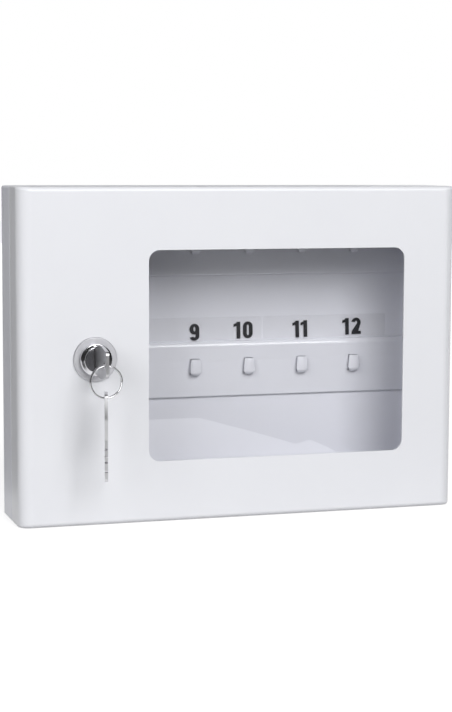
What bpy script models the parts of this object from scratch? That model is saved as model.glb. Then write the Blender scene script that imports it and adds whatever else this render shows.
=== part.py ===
"""Key cabinet: a shallow steel tray with two hook rails and a windowed door with a cam lock.

Metres, +Z up. The origin is the middle of the tray's bottom face. +X is to the right of
someone who faces the door, and +Y runs towards the wall behind the cabinet.
"""

import math

import bmesh
import bpy
from mathutils import Matrix, Vector

MM = 0.001

# Whole cabinet
CABINET_WIDTH = 330.0 * MM
CABINET_HEIGHT = 240.0 * MM
DOOR_DEPTH = 30.0 * MM
CASING_DEPTH = 31.5 * MM
DOOR_SEAM = 0.5 * MM
SHEET = 1.0 * MM
FIT = 0.3 * MM
OVERRUN = 3.0 * MM

# Casing tray
CASING_BEND = 1.8 * MM
LIP_WIDTH = 12.0 * MM
WALL_HOLE_DIAMETER = 5.5 * MM
WALL_HOLE_INSET = 20.0 * MM

# Hook rails
RAIL_HEIGHT = 42.2 * MM
RAIL_TOP_STANDOFF = 5.8 * MM
RAIL_TOE_STANDOFF = 2.2 * MM
RAIL_BEND = 3.2 * MM
RAIL_END_INSET = 14.0 * MM
RAIL_FOOT_LENGTH = 11.0 * MM
RAIL_FOOT_HEIGHT = 24.0 * MM
UPPER_RAIL_FROM_TOP = 25.0 * MM
RAIL_PITCH = 91.5 * MM
HOOK_RISE = 16.2 * MM
HOOKS_PER_RAIL = 6
END_HOOK_FROM_SIDE = 59.75 * MM
HOOK_WIDTH = 7.0 * MM
HOOK_HEIGHT = 12.9 * MM
HOOK_REACH = 5.3 * MM
HOOK_BEND = 3.6 * MM
HOOK_LEAN = 1.0 * MM
HOOK_UPRIGHT_SHARE = 0.62
HOOK_SLOT_CLEARANCE = 0.3 * MM
HOOK_SLOT_ABOVE = 0.5 * MM

# Number strips on the back wall
LABEL_HEIGHT = 17.4 * MM
LABEL_THICKNESS = 0.3 * MM
LABEL_RISE = 0.4 * MM
LABEL_END_MARGIN = 7.0 * MM
LABEL_SPLIT_GAP = 0.8 * MM
LABEL_LEFT_HOOKS = 4
LABEL_SPLIT_SETBACK = 8.8 * MM

# Door shell
DOOR_SIDE_RADIUS = 10.0 * MM
DOOR_EDGE_RADIUS = 3.5 * MM
DOOR_RETURN_RADIUS = 1.4 * MM
WINDOW_WIDTH = 194.8 * MM
WINDOW_LEFT = 93.6 * MM
WINDOW_BOTTOM = 44.3 * MM
WINDOW_TOP_MARGIN = 44.7 * MM
WINDOW_CORNER = 8.0 * MM

# Pane and what holds it
PANE_THICKNESS = 2.5 * MM
PANE_OVERLAP = 9.0 * MM
PANE_LIP = 6.0 * MM
PANE_FOOT = 10.0 * MM
PANE_STOP_LENGTH = 30.0 * MM

# Hinge
HINGE_FROM_SIDE = 5.0 * MM
HINGE_FROM_CASING = 7.2 * MM
HINGE_SWEEP_CLEARANCE = 0.25 * MM
PIN_DIAMETER = 4.0 * MM
PIN_COLLAR_DIAMETER = 6.4 * MM
PIN_COLLAR_HEIGHT = 1.4 * MM
PIN_STUB_DIAMETER = 3.0 * MM
PIN_PAST_ARM = 1.6 * MM
HINGE_WASHER_DIAMETER = 6.8 * MM
HINGE_WASHER_THICKNESS = 0.6 * MM
BRACKET_SHEET = 1.5 * MM
BRACKET_HEIGHT = 9.0 * MM
BRACKET_LEG_LENGTH = 19.0 * MM
BRACKET_LEG_FROM_PIN = 8.5 * MM
BRACKET_EYE_RADIUS = 3.6 * MM
BRACKET_EYE_START = math.radians(216.0)
NOTCH_AHEAD_OF_PIN = 6.0 * MM
NOTCH_CLEARANCE = 1.2 * MM

# Rivets
RIVET_DIAMETER = 3.0 * MM
RIVET_HEAD_DIAMETER = 5.6 * MM
RIVET_HEAD_HEIGHT = 1.1 * MM
RIVET_TAIL_DIAMETER = 4.6 * MM
RIVET_TAIL_HEIGHT = 0.9 * MM
RIVET_FLUSH_DEPTH = 0.15 * MM
RIVET_DOME_SHARES = (0.4, 0.7, 0.9)
BRACKET_RIVET_SHARES = (0.25, 0.75)

# Lock
LOCK_FROM_LEFT = 54.3 * MM
LOCK_BELOW_MIDDLE = 0.9 * MM
ROSETTE_DIAMETER = 31.5 * MM
ROSETTE_THICKNESS = 1.5 * MM
ROSETTE_EDGE = 0.8 * MM
ROSETTE_EDGE_SHARE = 0.3
HEAD_DIAMETER = 23.0 * MM
HEAD_FACE_DIAMETER = 18.6 * MM
HEAD_PROUD = 6.0 * MM
HEAD_CROWN = 1.6 * MM
HEAD_CROWN_OUT_SHARE = 0.2
HEAD_CROWN_DROP_SHARE = 0.3
BARREL_DIAMETER = 19.0 * MM
BARREL_REAR_CLEARANCE = 1.2 * MM
PLUG_DIAMETER = 13.0 * MM
PLUG_FACE_DIAMETER = 15.2 * MM
PLUG_FACE_THICKNESS = 2.4 * MM
PLUG_RECESS = 0.2 * MM
NUT_ACROSS_FLATS = 24.0 * MM
NUT_THICKNESS = 4.0 * MM
NUT_SIDES = 6
LOCK_GROOVE_DEPTH = 1.3 * MM
KEYWAY_WIDTH = 3.0 * MM
KEYWAY_HEIGHT = 8.8 * MM
KEYWAY_END_CLEARANCE = 1.5 * MM
WAFER_COUNT = 5
WAFER_WIDTH = 6.4 * MM
WAFER_THICKNESS = 0.9 * MM
WAFER_FIRST = 7.0 * MM
WAFER_PITCH = 3.6 * MM
WAFER_RIM = 0.4 * MM

# Cam, its washer and its screw
CAM_THICKNESS = 2.0 * MM
CAM_WIDTH = 15.0 * MM
CAM_TIP_WIDTH = 11.0 * MM
CAM_TIP_RADIUS = 2.0 * MM
CAM_REACH = 49.0 * MM
CAM_BEHIND_LIP = 1.0 * MM
TAIL_SQUARE = 7.0 * MM
CAM_WASHER_DIAMETER = 11.0 * MM
CAM_WASHER_THICKNESS = 0.8 * MM
SCREW_DIAMETER = 3.6 * MM
SCREW_LENGTH = 8.0 * MM
SCREW_HEAD_DIAMETER = 7.4 * MM
SCREW_HEAD_HEIGHT = 2.2 * MM
SCREW_RIM_SHARE = 0.6
SCREW_TOP_SHARE = 0.8
SCREW_SLOT_WIDTH = 1.0 * MM
SCREW_SLOT_DEPTH = 1.0 * MM

# Key
KEY_THICKNESS = 2.3 * MM
BOW_LENGTH = 32.0 * MM
BOW_WIDTH = 23.0 * MM
BOW_END_WIDTH = 19.0 * MM
BOW_CORNER = 3.5 * MM
BOW_WIDE_SHARES = (0.45, 0.6)
BLADE_LENGTH = 30.0 * MM
BLADE_WIDTH = 8.0 * MM
BLADE_TIP = 2.2 * MM
BOW_HOLE_DIAMETER = 5.5 * MM
BOW_HOLE_WEB = 2.2 * MM
BOW_SHOULDER_GAP = 0.5 * MM
KEY_GROOVE_WIDTH = 1.5 * MM
KEY_GROOVE_DEPTH = 0.7 * MM
KEY_NOTCH_WIDTH = 1.8 * MM
KEY_NOTCH_PLACES = (7.3 * MM, 13.8 * MM, 18.4 * MM, 23.0 * MM)
KEY_NOTCH_DEPTHS = (1.1 * MM, 1.7 * MM, 0.9 * MM, 1.4 * MM)

# Key ring and the spare key that hangs from it
RING_DIAMETER = 23.4 * MM
RING_WIRE = 1.2 * MM
RING_COIL_GAP = 0.45 * MM
RING_TURNS = 2
RING_STEP_ANGLE = math.radians(40.0)
RING_POINTS_PER_TURN = 36
RING_HOLE_OFFSET = 1.05 * MM
SPARE_TWIST = math.radians(-13.5)

# Colours of the materials, and how fine the round pieces are
PAINT_COLOUR = (0.78, 0.79, 0.82)
INNER_PAINT_COLOUR = (0.70, 0.71, 0.74)
CHROME_COLOUR = (0.80, 0.80, 0.82)
SATIN_COLOUR = (0.55, 0.55, 0.57)
ZINC_COLOUR = (0.52, 0.53, 0.55)
NICKEL_COLOUR = (0.62, 0.61, 0.62)
BRASS_COLOUR = (0.70, 0.55, 0.28)
PANE_COLOUR = (0.85, 0.87, 0.90)
FILM_COLOUR = (0.83, 0.83, 0.85)
NYLON_COLOUR = (0.88, 0.88, 0.86)
ROUND_STEPS = 48
SMALL_STEPS = 20
BEND_STEPS = 3
SMOOTH_ANGLE = math.radians(32.0)
MERGE = 0.01 * MM
FACING = 0.5

# Places that follow from the sizes above
LEFT_X = -CABINET_WIDTH / 2
RIGHT_X = CABINET_WIDTH / 2
CASING_FRONT_Y = -CASING_DEPTH / 2
CASING_BACK_Y = CASING_DEPTH / 2
WALL_FACE_Y = CASING_BACK_Y - SHEET
DOOR_REAR_Y = CASING_FRONT_Y - DOOR_SEAM
DOOR_FRONT_Y = DOOR_REAR_Y - DOOR_DEPTH
DOOR_INNER_Y = DOOR_FRONT_Y + SHEET
DOOR_BOTTOM_Z = FIT
UPPER_RAIL_BOTTOM = CABINET_HEIGHT - UPPER_RAIL_FROM_TOP - RAIL_HEIGHT
LOWER_RAIL_BOTTOM = UPPER_RAIL_BOTTOM - RAIL_PITCH
HOOK_PITCH = (CABINET_WIDTH - END_HOOK_FROM_SIDE * 2) / (HOOKS_PER_RAIL - 1)
WINDOW_HEIGHT = CABINET_HEIGHT - WINDOW_BOTTOM - WINDOW_TOP_MARGIN
HINGE_X = RIGHT_X - HINGE_FROM_SIDE
HINGE_Y = CASING_FRONT_Y - HINGE_FROM_CASING
LOCK_X = LEFT_X + LOCK_FROM_LEFT
LOCK_HEIGHT = CABINET_HEIGHT / 2 - LOCK_BELOW_MIDDLE
HEAD_FACE_Y = DOOR_FRONT_Y - HEAD_PROUD
BARREL_REAR_Y = CASING_FRONT_Y + SHEET + CAM_BEHIND_LIP - BARREL_REAR_CLEARANCE / 2
CAM_FRONT_Y = CASING_FRONT_Y + SHEET + CAM_BEHIND_LIP
CAM_REAR_Y = CAM_FRONT_Y + CAM_THICKNESS
TAIL_REAR_Y = CAM_REAR_Y + FIT
RING_RADIUS = (RING_DIAMETER - RING_WIRE) / 2
RING_PITCH = RING_WIRE + RING_COIL_GAP
HOLE_FROM_END = BOW_HOLE_WEB + BOW_HOLE_DIAMETER / 2
KEY_END_Y = HEAD_FACE_Y - BOW_SHOULDER_GAP - BOW_LENGTH
RING_AXIS_Y = KEY_END_Y + HOLE_FROM_END
RING_AXIS_Z = LOCK_HEIGHT - RING_HOLE_OFFSET
SPARE_AXIS_Z = RING_AXIS_Z - RING_RADIUS * 2

FRONTWARD = Matrix.Rotation(math.pi / 2, 4, "X")

for old in list(bpy.data.objects):
    bpy.data.objects.remove(old, do_unlink=True)

parts = bpy.data.collections.new("key_cabinet")
cutters = bpy.data.collections.new("cutters")
bpy.context.scene.collection.children.link(parts)
bpy.context.scene.collection.children.link(cutters)


def finish(name, colour, roughness, metallic):
    """A Principled material."""
    material = bpy.data.materials.new(name)
    material.use_nodes = True
    shader = material.node_tree.nodes["Principled BSDF"]
    shader.inputs["Base Color"].default_value = (*colour, 1.0)
    shader.inputs["Roughness"].default_value = roughness
    shader.inputs["Metallic"].default_value = metallic
    return material


paint = finish("light_grey_paint", PAINT_COLOUR, 0.45, 0.0)
inner_paint = finish("inner_grey_paint", INNER_PAINT_COLOUR, 0.5, 0.0)
chrome = finish("chrome", CHROME_COLOUR, 0.08, 1.0)
satin = finish("satin_steel", SATIN_COLOUR, 0.35, 1.0)
zinc = finish("zinc_plate", ZINC_COLOUR, 0.4, 1.0)
nickel = finish("nickel_plate", NICKEL_COLOUR, 0.22, 1.0)
brass = finish("brass", BRASS_COLOUR, 0.3, 1.0)
acrylic = finish("clear_acrylic", PANE_COLOUR, 0.05, 0.0)
film = finish("clear_film", FILM_COLOUR, 0.3, 0.0)
nylon = finish("nylon", NYLON_COLOUR, 0.5, 0.0)


def axis_point(name, parent, place):
    """An empty on a joint's axis; place is in world coordinates."""
    point = bpy.data.objects.new(name, None)
    parts.objects.link(point)
    point.parent = parent
    origin = parent.matrix_world.translation if parent else Vector()
    point.location = Vector(place) - origin
    bpy.context.view_layer.update()
    return point


cabinet_base = axis_point("cabinet_base", None, (0, 0, 0))
door_axis = axis_point("door_axis", cabinet_base, (HINGE_X, HINGE_Y, DOOR_BOTTOM_Z))
plug_axis = axis_point("plug_axis", door_axis, (LOCK_X, HEAD_FACE_Y, LOCK_HEIGHT))
key_axis = axis_point("key_axis", plug_axis, (LOCK_X, HEAD_FACE_Y, LOCK_HEIGHT))
ring_axis = axis_point("ring_axis", key_axis, (LOCK_X, RING_AXIS_Y, RING_AXIS_Z))
spare_axis = axis_point("spare_axis", ring_axis, (LOCK_X, RING_AXIS_Y, SPARE_AXIS_Z))


def place_object(name, mesh, carrier, place, turn=None, material=None):
    """Links a mesh object that sits at a world place, parented to its carrier."""
    obj = bpy.data.objects.new(name, mesh)
    if material:
        mesh.materials.append(material)
    parts.objects.link(obj)
    obj.parent = carrier
    obj.location = Vector(place) - carrier.matrix_world.translation
    if turn:
        obj.rotation_euler = turn.to_euler()
    return obj


def as_cutter(obj):
    """Moves an object to the cutters' collection and hides it from renders."""
    parts.objects.unlink(obj)
    cutters.objects.link(obj)
    obj.hide_render = True
    obj.display_type = "WIRE"
    return obj


def combine(target, other, operation):
    """Adds an exact Boolean of a helper object to the target."""
    modifier = target.modifiers.new(other.name, "BOOLEAN")
    modifier.object = as_cutter(other)
    modifier.operation = operation
    modifier.solver = "EXACT"


def cut(target, *others):
    """Cuts helper objects out of the target."""
    for other in others:
        combine(target, other, "DIFFERENCE")


def unite(target, *others):
    """Joins helper objects to the target."""
    for other in others:
        combine(target, other, "UNION")


def mesh_of(bm, name):
    """Turns a bmesh into a mesh with outward faces."""
    bmesh.ops.recalc_face_normals(bm, faces=bm.faces)
    mesh = bpy.data.meshes.new(name)
    bm.to_mesh(mesh)
    bm.free()
    return mesh


def smooth(obj):
    """Shades a round piece smooth, with its corners sharp."""
    obj.data.shade_smooth()
    obj.data.set_sharp_from_angle(angle=SMOOTH_ANGLE)
    return obj


def box(name, low, high, carrier, material=None):
    """A box between two world corners, with its origin at the carrier's point."""
    low, high = Vector(low), Vector(high)
    origin = carrier.matrix_world.translation
    bm = bmesh.new()
    bmesh.ops.create_cube(bm, size=1.0)
    bmesh.ops.scale(bm, vec=high - low, verts=bm.verts)
    bmesh.ops.translate(bm, vec=(low + high) / 2 - origin, verts=bm.verts)
    return place_object(name, mesh_of(bm, name), carrier, origin, material=material)


def cylinder(name, radius, start, end, carrier, steps=SMALL_STEPS, material=None):
    """A cylinder between two world points along one axis."""
    start, end = Vector(start), Vector(end)
    span = end - start
    bm = bmesh.new()
    bmesh.ops.create_cone(bm, cap_ends=True, segments=steps, radius1=radius, radius2=radius,
                          depth=span.length)
    turn = Vector((0, 0, 1)).rotation_difference(span).to_matrix().to_4x4()
    bmesh.ops.transform(bm, matrix=turn, verts=bm.verts)
    origin = carrier.matrix_world.translation
    bmesh.ops.translate(bm, vec=(start + end) / 2 - origin, verts=bm.verts)
    return place_object(name, mesh_of(bm, name), carrier, origin, material=material)


def turned(name, profile, carrier, place, material=None, steps=ROUND_STEPS, turn=FRONTWARD,
           closed=False):
    """A turned piece: the profile's points are (radius, height along local Z), top first."""
    bm = bmesh.new()
    ring = [bm.verts.new((radius, 0, height)) for radius, height in profile]
    for first, second in zip(ring, ring[1:]):
        bm.edges.new((first, second))
    if closed:
        bm.edges.new((ring[-1], ring[0]))
    mesh = bpy.data.meshes.new(name)
    bm.to_mesh(mesh)
    bm.free()
    obj = place_object(name, mesh, carrier, place, turn, material)
    screw = obj.modifiers.new("turn", "SCREW")
    screw.axis = "Z"
    screw.angle = math.tau
    screw.steps = steps
    screw.render_steps = steps
    screw.use_merge_vertices = True
    screw.merge_threshold = MERGE
    screw.use_smooth_shade = True
    return obj


def arc(centre, radius, start, end, steps):
    """Points of an arc, angles in radians."""
    points = []
    for index in range(steps + 1):
        angle = start + (end - start) * index / steps
        points.append((centre[0] + radius * math.cos(angle), centre[1] + radius * math.sin(angle)))
    return points


def rounded_rectangle(low, high, radius, steps):
    """The outline of a rectangle with round corners."""
    quarter = math.pi / 2
    corners = (
        ((high[0] - radius, high[1] - radius), 0),
        ((low[0] + radius, high[1] - radius), 1),
        ((low[0] + radius, low[1] + radius), 2),
        ((high[0] - radius, low[1] + radius), 3),
    )
    outline = []
    for centre, index in corners:
        outline += arc(centre, radius, quarter * index, quarter * (index + 1), steps)
    return outline


def flat_mesh(name, outlines, thickness):
    """A flat piece from closed outlines, the later ones holes, centred on its thickness."""
    curve = bpy.data.curves.new(name, "CURVE")
    curve.dimensions = "2D"
    curve.fill_mode = "BOTH"
    curve.extrude = thickness / 2
    for outline in outlines:
        spline = curve.splines.new("POLY")
        spline.points.add(len(outline) - 1)
        for point, (across, along) in zip(spline.points, outline):
            point.co = (across, along, 0, 1)
        spline.use_cyclic_u = True
    guide = bpy.data.objects.new(name, curve)
    cutters.objects.link(guide)
    graph = bpy.context.evaluated_depsgraph_get()
    mesh = bpy.data.meshes.new_from_object(guide.evaluated_get(graph))
    bpy.data.objects.remove(guide, do_unlink=True)
    bm = bmesh.new()
    bm.from_mesh(mesh)
    bmesh.ops.remove_doubles(bm, verts=bm.verts, dist=MERGE)
    bmesh.ops.recalc_face_normals(bm, faces=bm.faces)
    bm.to_mesh(mesh)
    bm.free()
    mesh.materials.clear()
    return mesh


def extruded_along_x(name, outline, left, right, carrier, material=None):
    """A bar along X whose section outline is in world (Y, Z)."""
    turn = Matrix(((0, 0, 1, 0), (1, 0, 0, 0), (0, 1, 0, 0), (0, 0, 0, 1)))
    mesh = flat_mesh(name, [outline], right - left)
    mesh.transform(turn)
    mesh.transform(Matrix.Translation(((left + right) / 2, 0, 0)))
    origin = carrier.matrix_world.translation
    mesh.transform(Matrix.Translation(-origin))
    return place_object(name, mesh, carrier, origin, material=material)


def extruded_along_z(name, outlines, low, high, carrier, material=None):
    """A plate whose outline is in world (X, Y)."""
    mesh = flat_mesh(name, outlines, high - low)
    mesh.transform(Matrix.Translation((0, 0, (low + high) / 2)))
    origin = carrier.matrix_world.translation
    mesh.transform(Matrix.Translation(-origin))
    return place_object(name, mesh, carrier, origin, material=material)


def extruded_along_y(name, outlines, front, back, carrier, material=None):
    """A plate whose outline is in world (X, Z)."""
    mesh = flat_mesh(name, outlines, back - front)
    mesh.transform(Matrix.Rotation(math.pi / 2, 4, "X"))
    mesh.transform(Matrix.Translation((0, (front + back) / 2, 0)))
    origin = carrier.matrix_world.translation
    mesh.transform(Matrix.Translation(-origin))
    return place_object(name, mesh, carrier, origin, material=material)


def solidify(obj, thickness):
    """Gives an open surface its sheet thickness, inwards."""
    modifier = obj.modifiers.new("sheet", "SOLIDIFY")
    modifier.thickness = thickness
    modifier.offset = -1.0
    modifier.use_even_offset = True
    modifier.use_rim = True


# Casing: one folded tray with a lip all round its open front

def make_casing():
    """The tray, its lip, and the holes for wall screws and rivets."""
    bm = bmesh.new()
    bmesh.ops.create_cube(bm, size=1.0)
    bmesh.ops.scale(bm, vec=(CABINET_WIDTH, CASING_DEPTH, CABINET_HEIGHT), verts=bm.verts)
    bmesh.ops.translate(bm, vec=(0, 0, CABINET_HEIGHT / 2), verts=bm.verts)
    bm.faces.ensure_lookup_table()
    folds = list(bm.edges)
    front = [face for face in bm.faces if face.normal.y < -FACING]
    bmesh.ops.inset_region(bm, faces=front, thickness=LIP_WIDTH, use_even_offset=True)
    bmesh.ops.delete(bm, geom=front, context="FACES_ONLY")
    bmesh.ops.bevel(bm, geom=folds, offset=CASING_BEND, offset_type="OFFSET",
                    segments=BEND_STEPS, profile=0.5, affect="EDGES", material=-1)
    mesh = bpy.data.meshes.new("rear_casing")
    bm.to_mesh(mesh)
    bm.free()
    casing = place_object("rear_casing", mesh, cabinet_base, (0, 0, 0), material=paint)
    solidify(casing, SHEET)
    hole_x = CABINET_WIDTH / 2 - WALL_HOLE_INSET
    for side in (-1, 1):
        for height in (WALL_HOLE_INSET, CABINET_HEIGHT - WALL_HOLE_INSET):
            cut(casing, cylinder("wall_hole", WALL_HOLE_DIAMETER / 2,
                                 (side * hole_x, WALL_FACE_Y - OVERRUN, height),
                                 (side * hole_x, CASING_BACK_Y + OVERRUN, height), cabinet_base))
    return smooth(casing)


rear_casing = make_casing()


def rivet(name, place, head_y, grip, tail, carrier):
    """A rivet along Y: domed head in front at head_y, a shank through the grip, a tail behind.

    A tail of False ends flush in the last sheet.
    """
    radius = RIVET_DIAMETER / 2
    head = RIVET_HEAD_DIAMETER / 2
    dome = [(0, RIVET_HEAD_HEIGHT)]
    dome += [(head * share, RIVET_HEAD_HEIGHT * math.sqrt(1 - share ** 4))
             for share in RIVET_DOME_SHARES]
    profile = dome + [(head, 0), (radius, 0)]
    if tail:
        wide = RIVET_TAIL_DIAMETER / 2
        profile += [(radius, -grip), (wide, -grip), (wide, -grip - RIVET_TAIL_HEIGHT),
                    (0, -grip - RIVET_TAIL_HEIGHT)]
    else:
        profile += [(radius, -grip), (0, -grip)]
    return turned(name, profile, carrier, (place[0], head_y, place[1]), zinc, SMALL_STEPS)


def rivet_hole(place, front, back, carrier):
    """A cutter for a rivet's hole."""
    return cylinder("rivet_hole", RIVET_DIAMETER / 2 + FIT, (place[0], front - OVERRUN, place[1]),
                    (place[0], back + OVERRUN, place[1]), carrier)


# Hook rails: slanting plates with a top flange and lanced tongues, riveted to the back wall

def rail_face(rise):
    """The Y of a rail's slanting front at a height above its bottom edge."""
    slope = (RAIL_TOP_STANDOFF - RAIL_TOE_STANDOFF) / RAIL_HEIGHT
    return WALL_FACE_Y - RAIL_TOE_STANDOFF - slope * rise


def hook_outline(rail_bottom):
    """The (Y, Z) section of one tongue: out from the rail's sheet, up, and leaning back."""
    low = rail_bottom + HOOK_RISE
    outer = rail_face(HOOK_RISE + HOOK_HEIGHT / 2) - HOOK_REACH
    inner = outer + SHEET
    upright, top = low + HOOK_HEIGHT * HOOK_UPRIGHT_SHARE, low + HOOK_HEIGHT
    centre = (outer + HOOK_BEND, low + HOOK_BEND)
    root = rail_face(HOOK_RISE) + SHEET / 2
    points = [(root, low)]
    points += arc(centre, HOOK_BEND, math.pi * 1.5, math.pi, BEND_STEPS + 1)
    points += [(outer, upright), (outer + HOOK_LEAN, top), (inner + HOOK_LEAN, top), (inner, upright)]
    points += arc(centre, HOOK_BEND - SHEET, math.pi, math.pi * 1.5, BEND_STEPS + 1)
    points += [(root, low + SHEET)]
    return points


def rail_skin(name, bottom, half):
    """The rail's outer skin: front, top flange and two end flanges, all bends rounded."""
    rear_y = WALL_FACE_Y - FIT
    low_front, high_front = rail_face(0), rail_face(RAIL_HEIGHT)
    bm = bmesh.new()
    bmesh.ops.create_cube(bm, size=1.0)
    bmesh.ops.scale(bm, vec=(half * 2, rear_y - high_front, RAIL_HEIGHT), verts=bm.verts)
    bmesh.ops.translate(bm, vec=(0, (high_front + rear_y) / 2, bottom + RAIL_HEIGHT / 2), verts=bm.verts)
    open_sides = [face for face in bm.faces if face.normal.y > FACING or face.normal.z < -FACING]
    bmesh.ops.delete(bm, geom=open_sides, context="FACES_ONLY")
    toe = [vert for vert in bm.verts
           if vert.co.z < bottom + RAIL_HEIGHT / 2 and vert.co.y < (high_front + rear_y) / 2]
    bmesh.ops.translate(bm, vec=(0, low_front - high_front, 0), verts=toe)
    top_folds = [edge for edge in bm.edges if len(edge.link_faces) == 2
                 and min(vert.co.z for vert in edge.verts) > bottom + RAIL_HEIGHT / 2]
    bmesh.ops.bevel(bm, geom=top_folds, offset=RAIL_BEND, offset_type="OFFSET",
                    segments=BEND_STEPS + 1, profile=0.5, affect="EDGES", material=-1)
    mesh = bpy.data.meshes.new(name)
    bm.to_mesh(mesh)
    bm.free()
    return mesh


def make_rail(name, bottom):
    """One rail: a slanting front with a top flange, two feet, and its row of hooks."""
    rear_y = WALL_FACE_Y - FIT
    half = CABINET_WIDTH / 2 - RAIL_END_INSET
    rail = place_object(name, rail_skin(name, bottom, half), cabinet_base, (0, 0, 0),
                        material=inner_paint)
    solidify(rail, SHEET)
    middle = bottom + RAIL_HEIGHT / 2
    for side in (-1, 1):
        foot_low = (side * half - (RAIL_FOOT_LENGTH if side < 0 else SHEET / 2), rear_y - SHEET,
                    middle - RAIL_FOOT_HEIGHT / 2)
        foot_high = (side * half + (RAIL_FOOT_LENGTH if side > 0 else SHEET / 2), rear_y,
                     middle + RAIL_FOOT_HEIGHT / 2)
        unite(rail, box("rail_foot", foot_low, foot_high, cabinet_base))
        spot = (side * (half + RAIL_FOOT_LENGTH / 2), middle)
        cut(rail, rivet_hole(spot, rear_y - SHEET, rear_y, cabinet_base))
        cut(rear_casing, rivet_hole(spot, WALL_FACE_Y, CASING_BACK_Y, cabinet_base))
        end = "left" if side < 0 else "right"
        grip = CASING_BACK_Y - RIVET_FLUSH_DEPTH - (rear_y - SHEET - FIT)
        rivet(f"{name.replace('hook_rail', 'rail_rivet')}_{end}", spot, rear_y - SHEET - FIT,
              grip, False, cabinet_base)
    slot_bottom = HOOK_RISE + SHEET + HOOK_SLOT_CLEARANCE
    slot_top = HOOK_RISE + HOOK_HEIGHT + HOOK_SLOT_ABOVE
    for index in range(HOOKS_PER_RAIL):
        centre = (index - (HOOKS_PER_RAIL - 1) / 2) * HOOK_PITCH
        half_slot = HOOK_WIDTH / 2 + HOOK_SLOT_CLEARANCE
        slot_low = (centre - half_slot, rail_face(slot_top) - OVERRUN, bottom + slot_bottom)
        slot_high = (centre + half_slot, rail_face(slot_bottom) + SHEET * 2, bottom + slot_top)
        cut(rail, box("hook_slot", slot_low, slot_high, cabinet_base))
        tongue = extruded_along_x("hook_tongue", hook_outline(bottom), centre - HOOK_WIDTH / 2,
                                  centre + HOOK_WIDTH / 2, cabinet_base)
        unite(rail, tongue)
    return smooth(rail)


make_rail("hook_rail_lower", LOWER_RAIL_BOTTOM)
make_rail("hook_rail_upper", UPPER_RAIL_BOTTOM)


# Number strips: clear film on the back wall, just above each rail

def make_labels(name, rail_bottom):
    """Two strips end to end above one rail."""
    hooks_left = -(HOOKS_PER_RAIL / 2) * HOOK_PITCH
    split = hooks_left + LABEL_LEFT_HOOKS * HOOK_PITCH - LABEL_SPLIT_SETBACK
    low = rail_bottom + RAIL_HEIGHT + LABEL_RISE
    back = WALL_FACE_Y - FIT
    spans = (("left", hooks_left - LABEL_END_MARGIN, split - LABEL_SPLIT_GAP / 2),
             ("right", split + LABEL_SPLIT_GAP / 2, -hooks_left + LABEL_END_MARGIN))
    for end, start, stop in spans:
        box(f"{name}_{end}", (start, back - LABEL_THICKNESS, low), (stop, back, low + LABEL_HEIGHT),
            cabinet_base, film)


make_labels("label_strip_lower", LOWER_RAIL_BOTTOM)
make_labels("label_strip_upper", UPPER_RAIL_BOTTOM)


# Door shell: front sheet, round vertical edges, tighter top and bottom edges

def door_stations():
    """The plan outline of the door's skin: (place, inward direction, edge radius)."""
    steps = BEND_STEPS * 2
    left, right = LEFT_X, RIGHT_X
    front, radius = DOOR_FRONT_Y, DOOR_SIDE_RADIUS
    right_rear = HINGE_Y + math.sqrt((HINGE_FROM_CASING - HINGE_SWEEP_CLEARANCE) ** 2
                                     - HINGE_FROM_SIDE ** 2)
    stations = [((left, DOOR_REAR_Y), (1, 0), DOOR_RETURN_RADIUS)]
    for index in range(steps + 1):
        share = index / steps
        angle = share * math.pi / 2
        edge = DOOR_RETURN_RADIUS + (DOOR_EDGE_RADIUS - DOOR_RETURN_RADIUS) * share
        inward = (math.cos(angle), math.sin(angle))
        stations.append(((left + radius - radius * inward[0], front + radius - radius * inward[1]),
                         inward, edge))
    for index in range(steps + 1):
        share = index / steps
        angle = share * math.pi / 2
        edge = DOOR_EDGE_RADIUS + (DOOR_RETURN_RADIUS - DOOR_EDGE_RADIUS) * share
        inward = (-math.sin(angle), math.cos(angle))
        stations.append(((right - radius - radius * inward[0], front + radius - radius * inward[1]),
                         inward, edge))
    stations.append(((right, right_rear), (-1, 0), DOOR_RETURN_RADIUS))
    return stations


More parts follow.
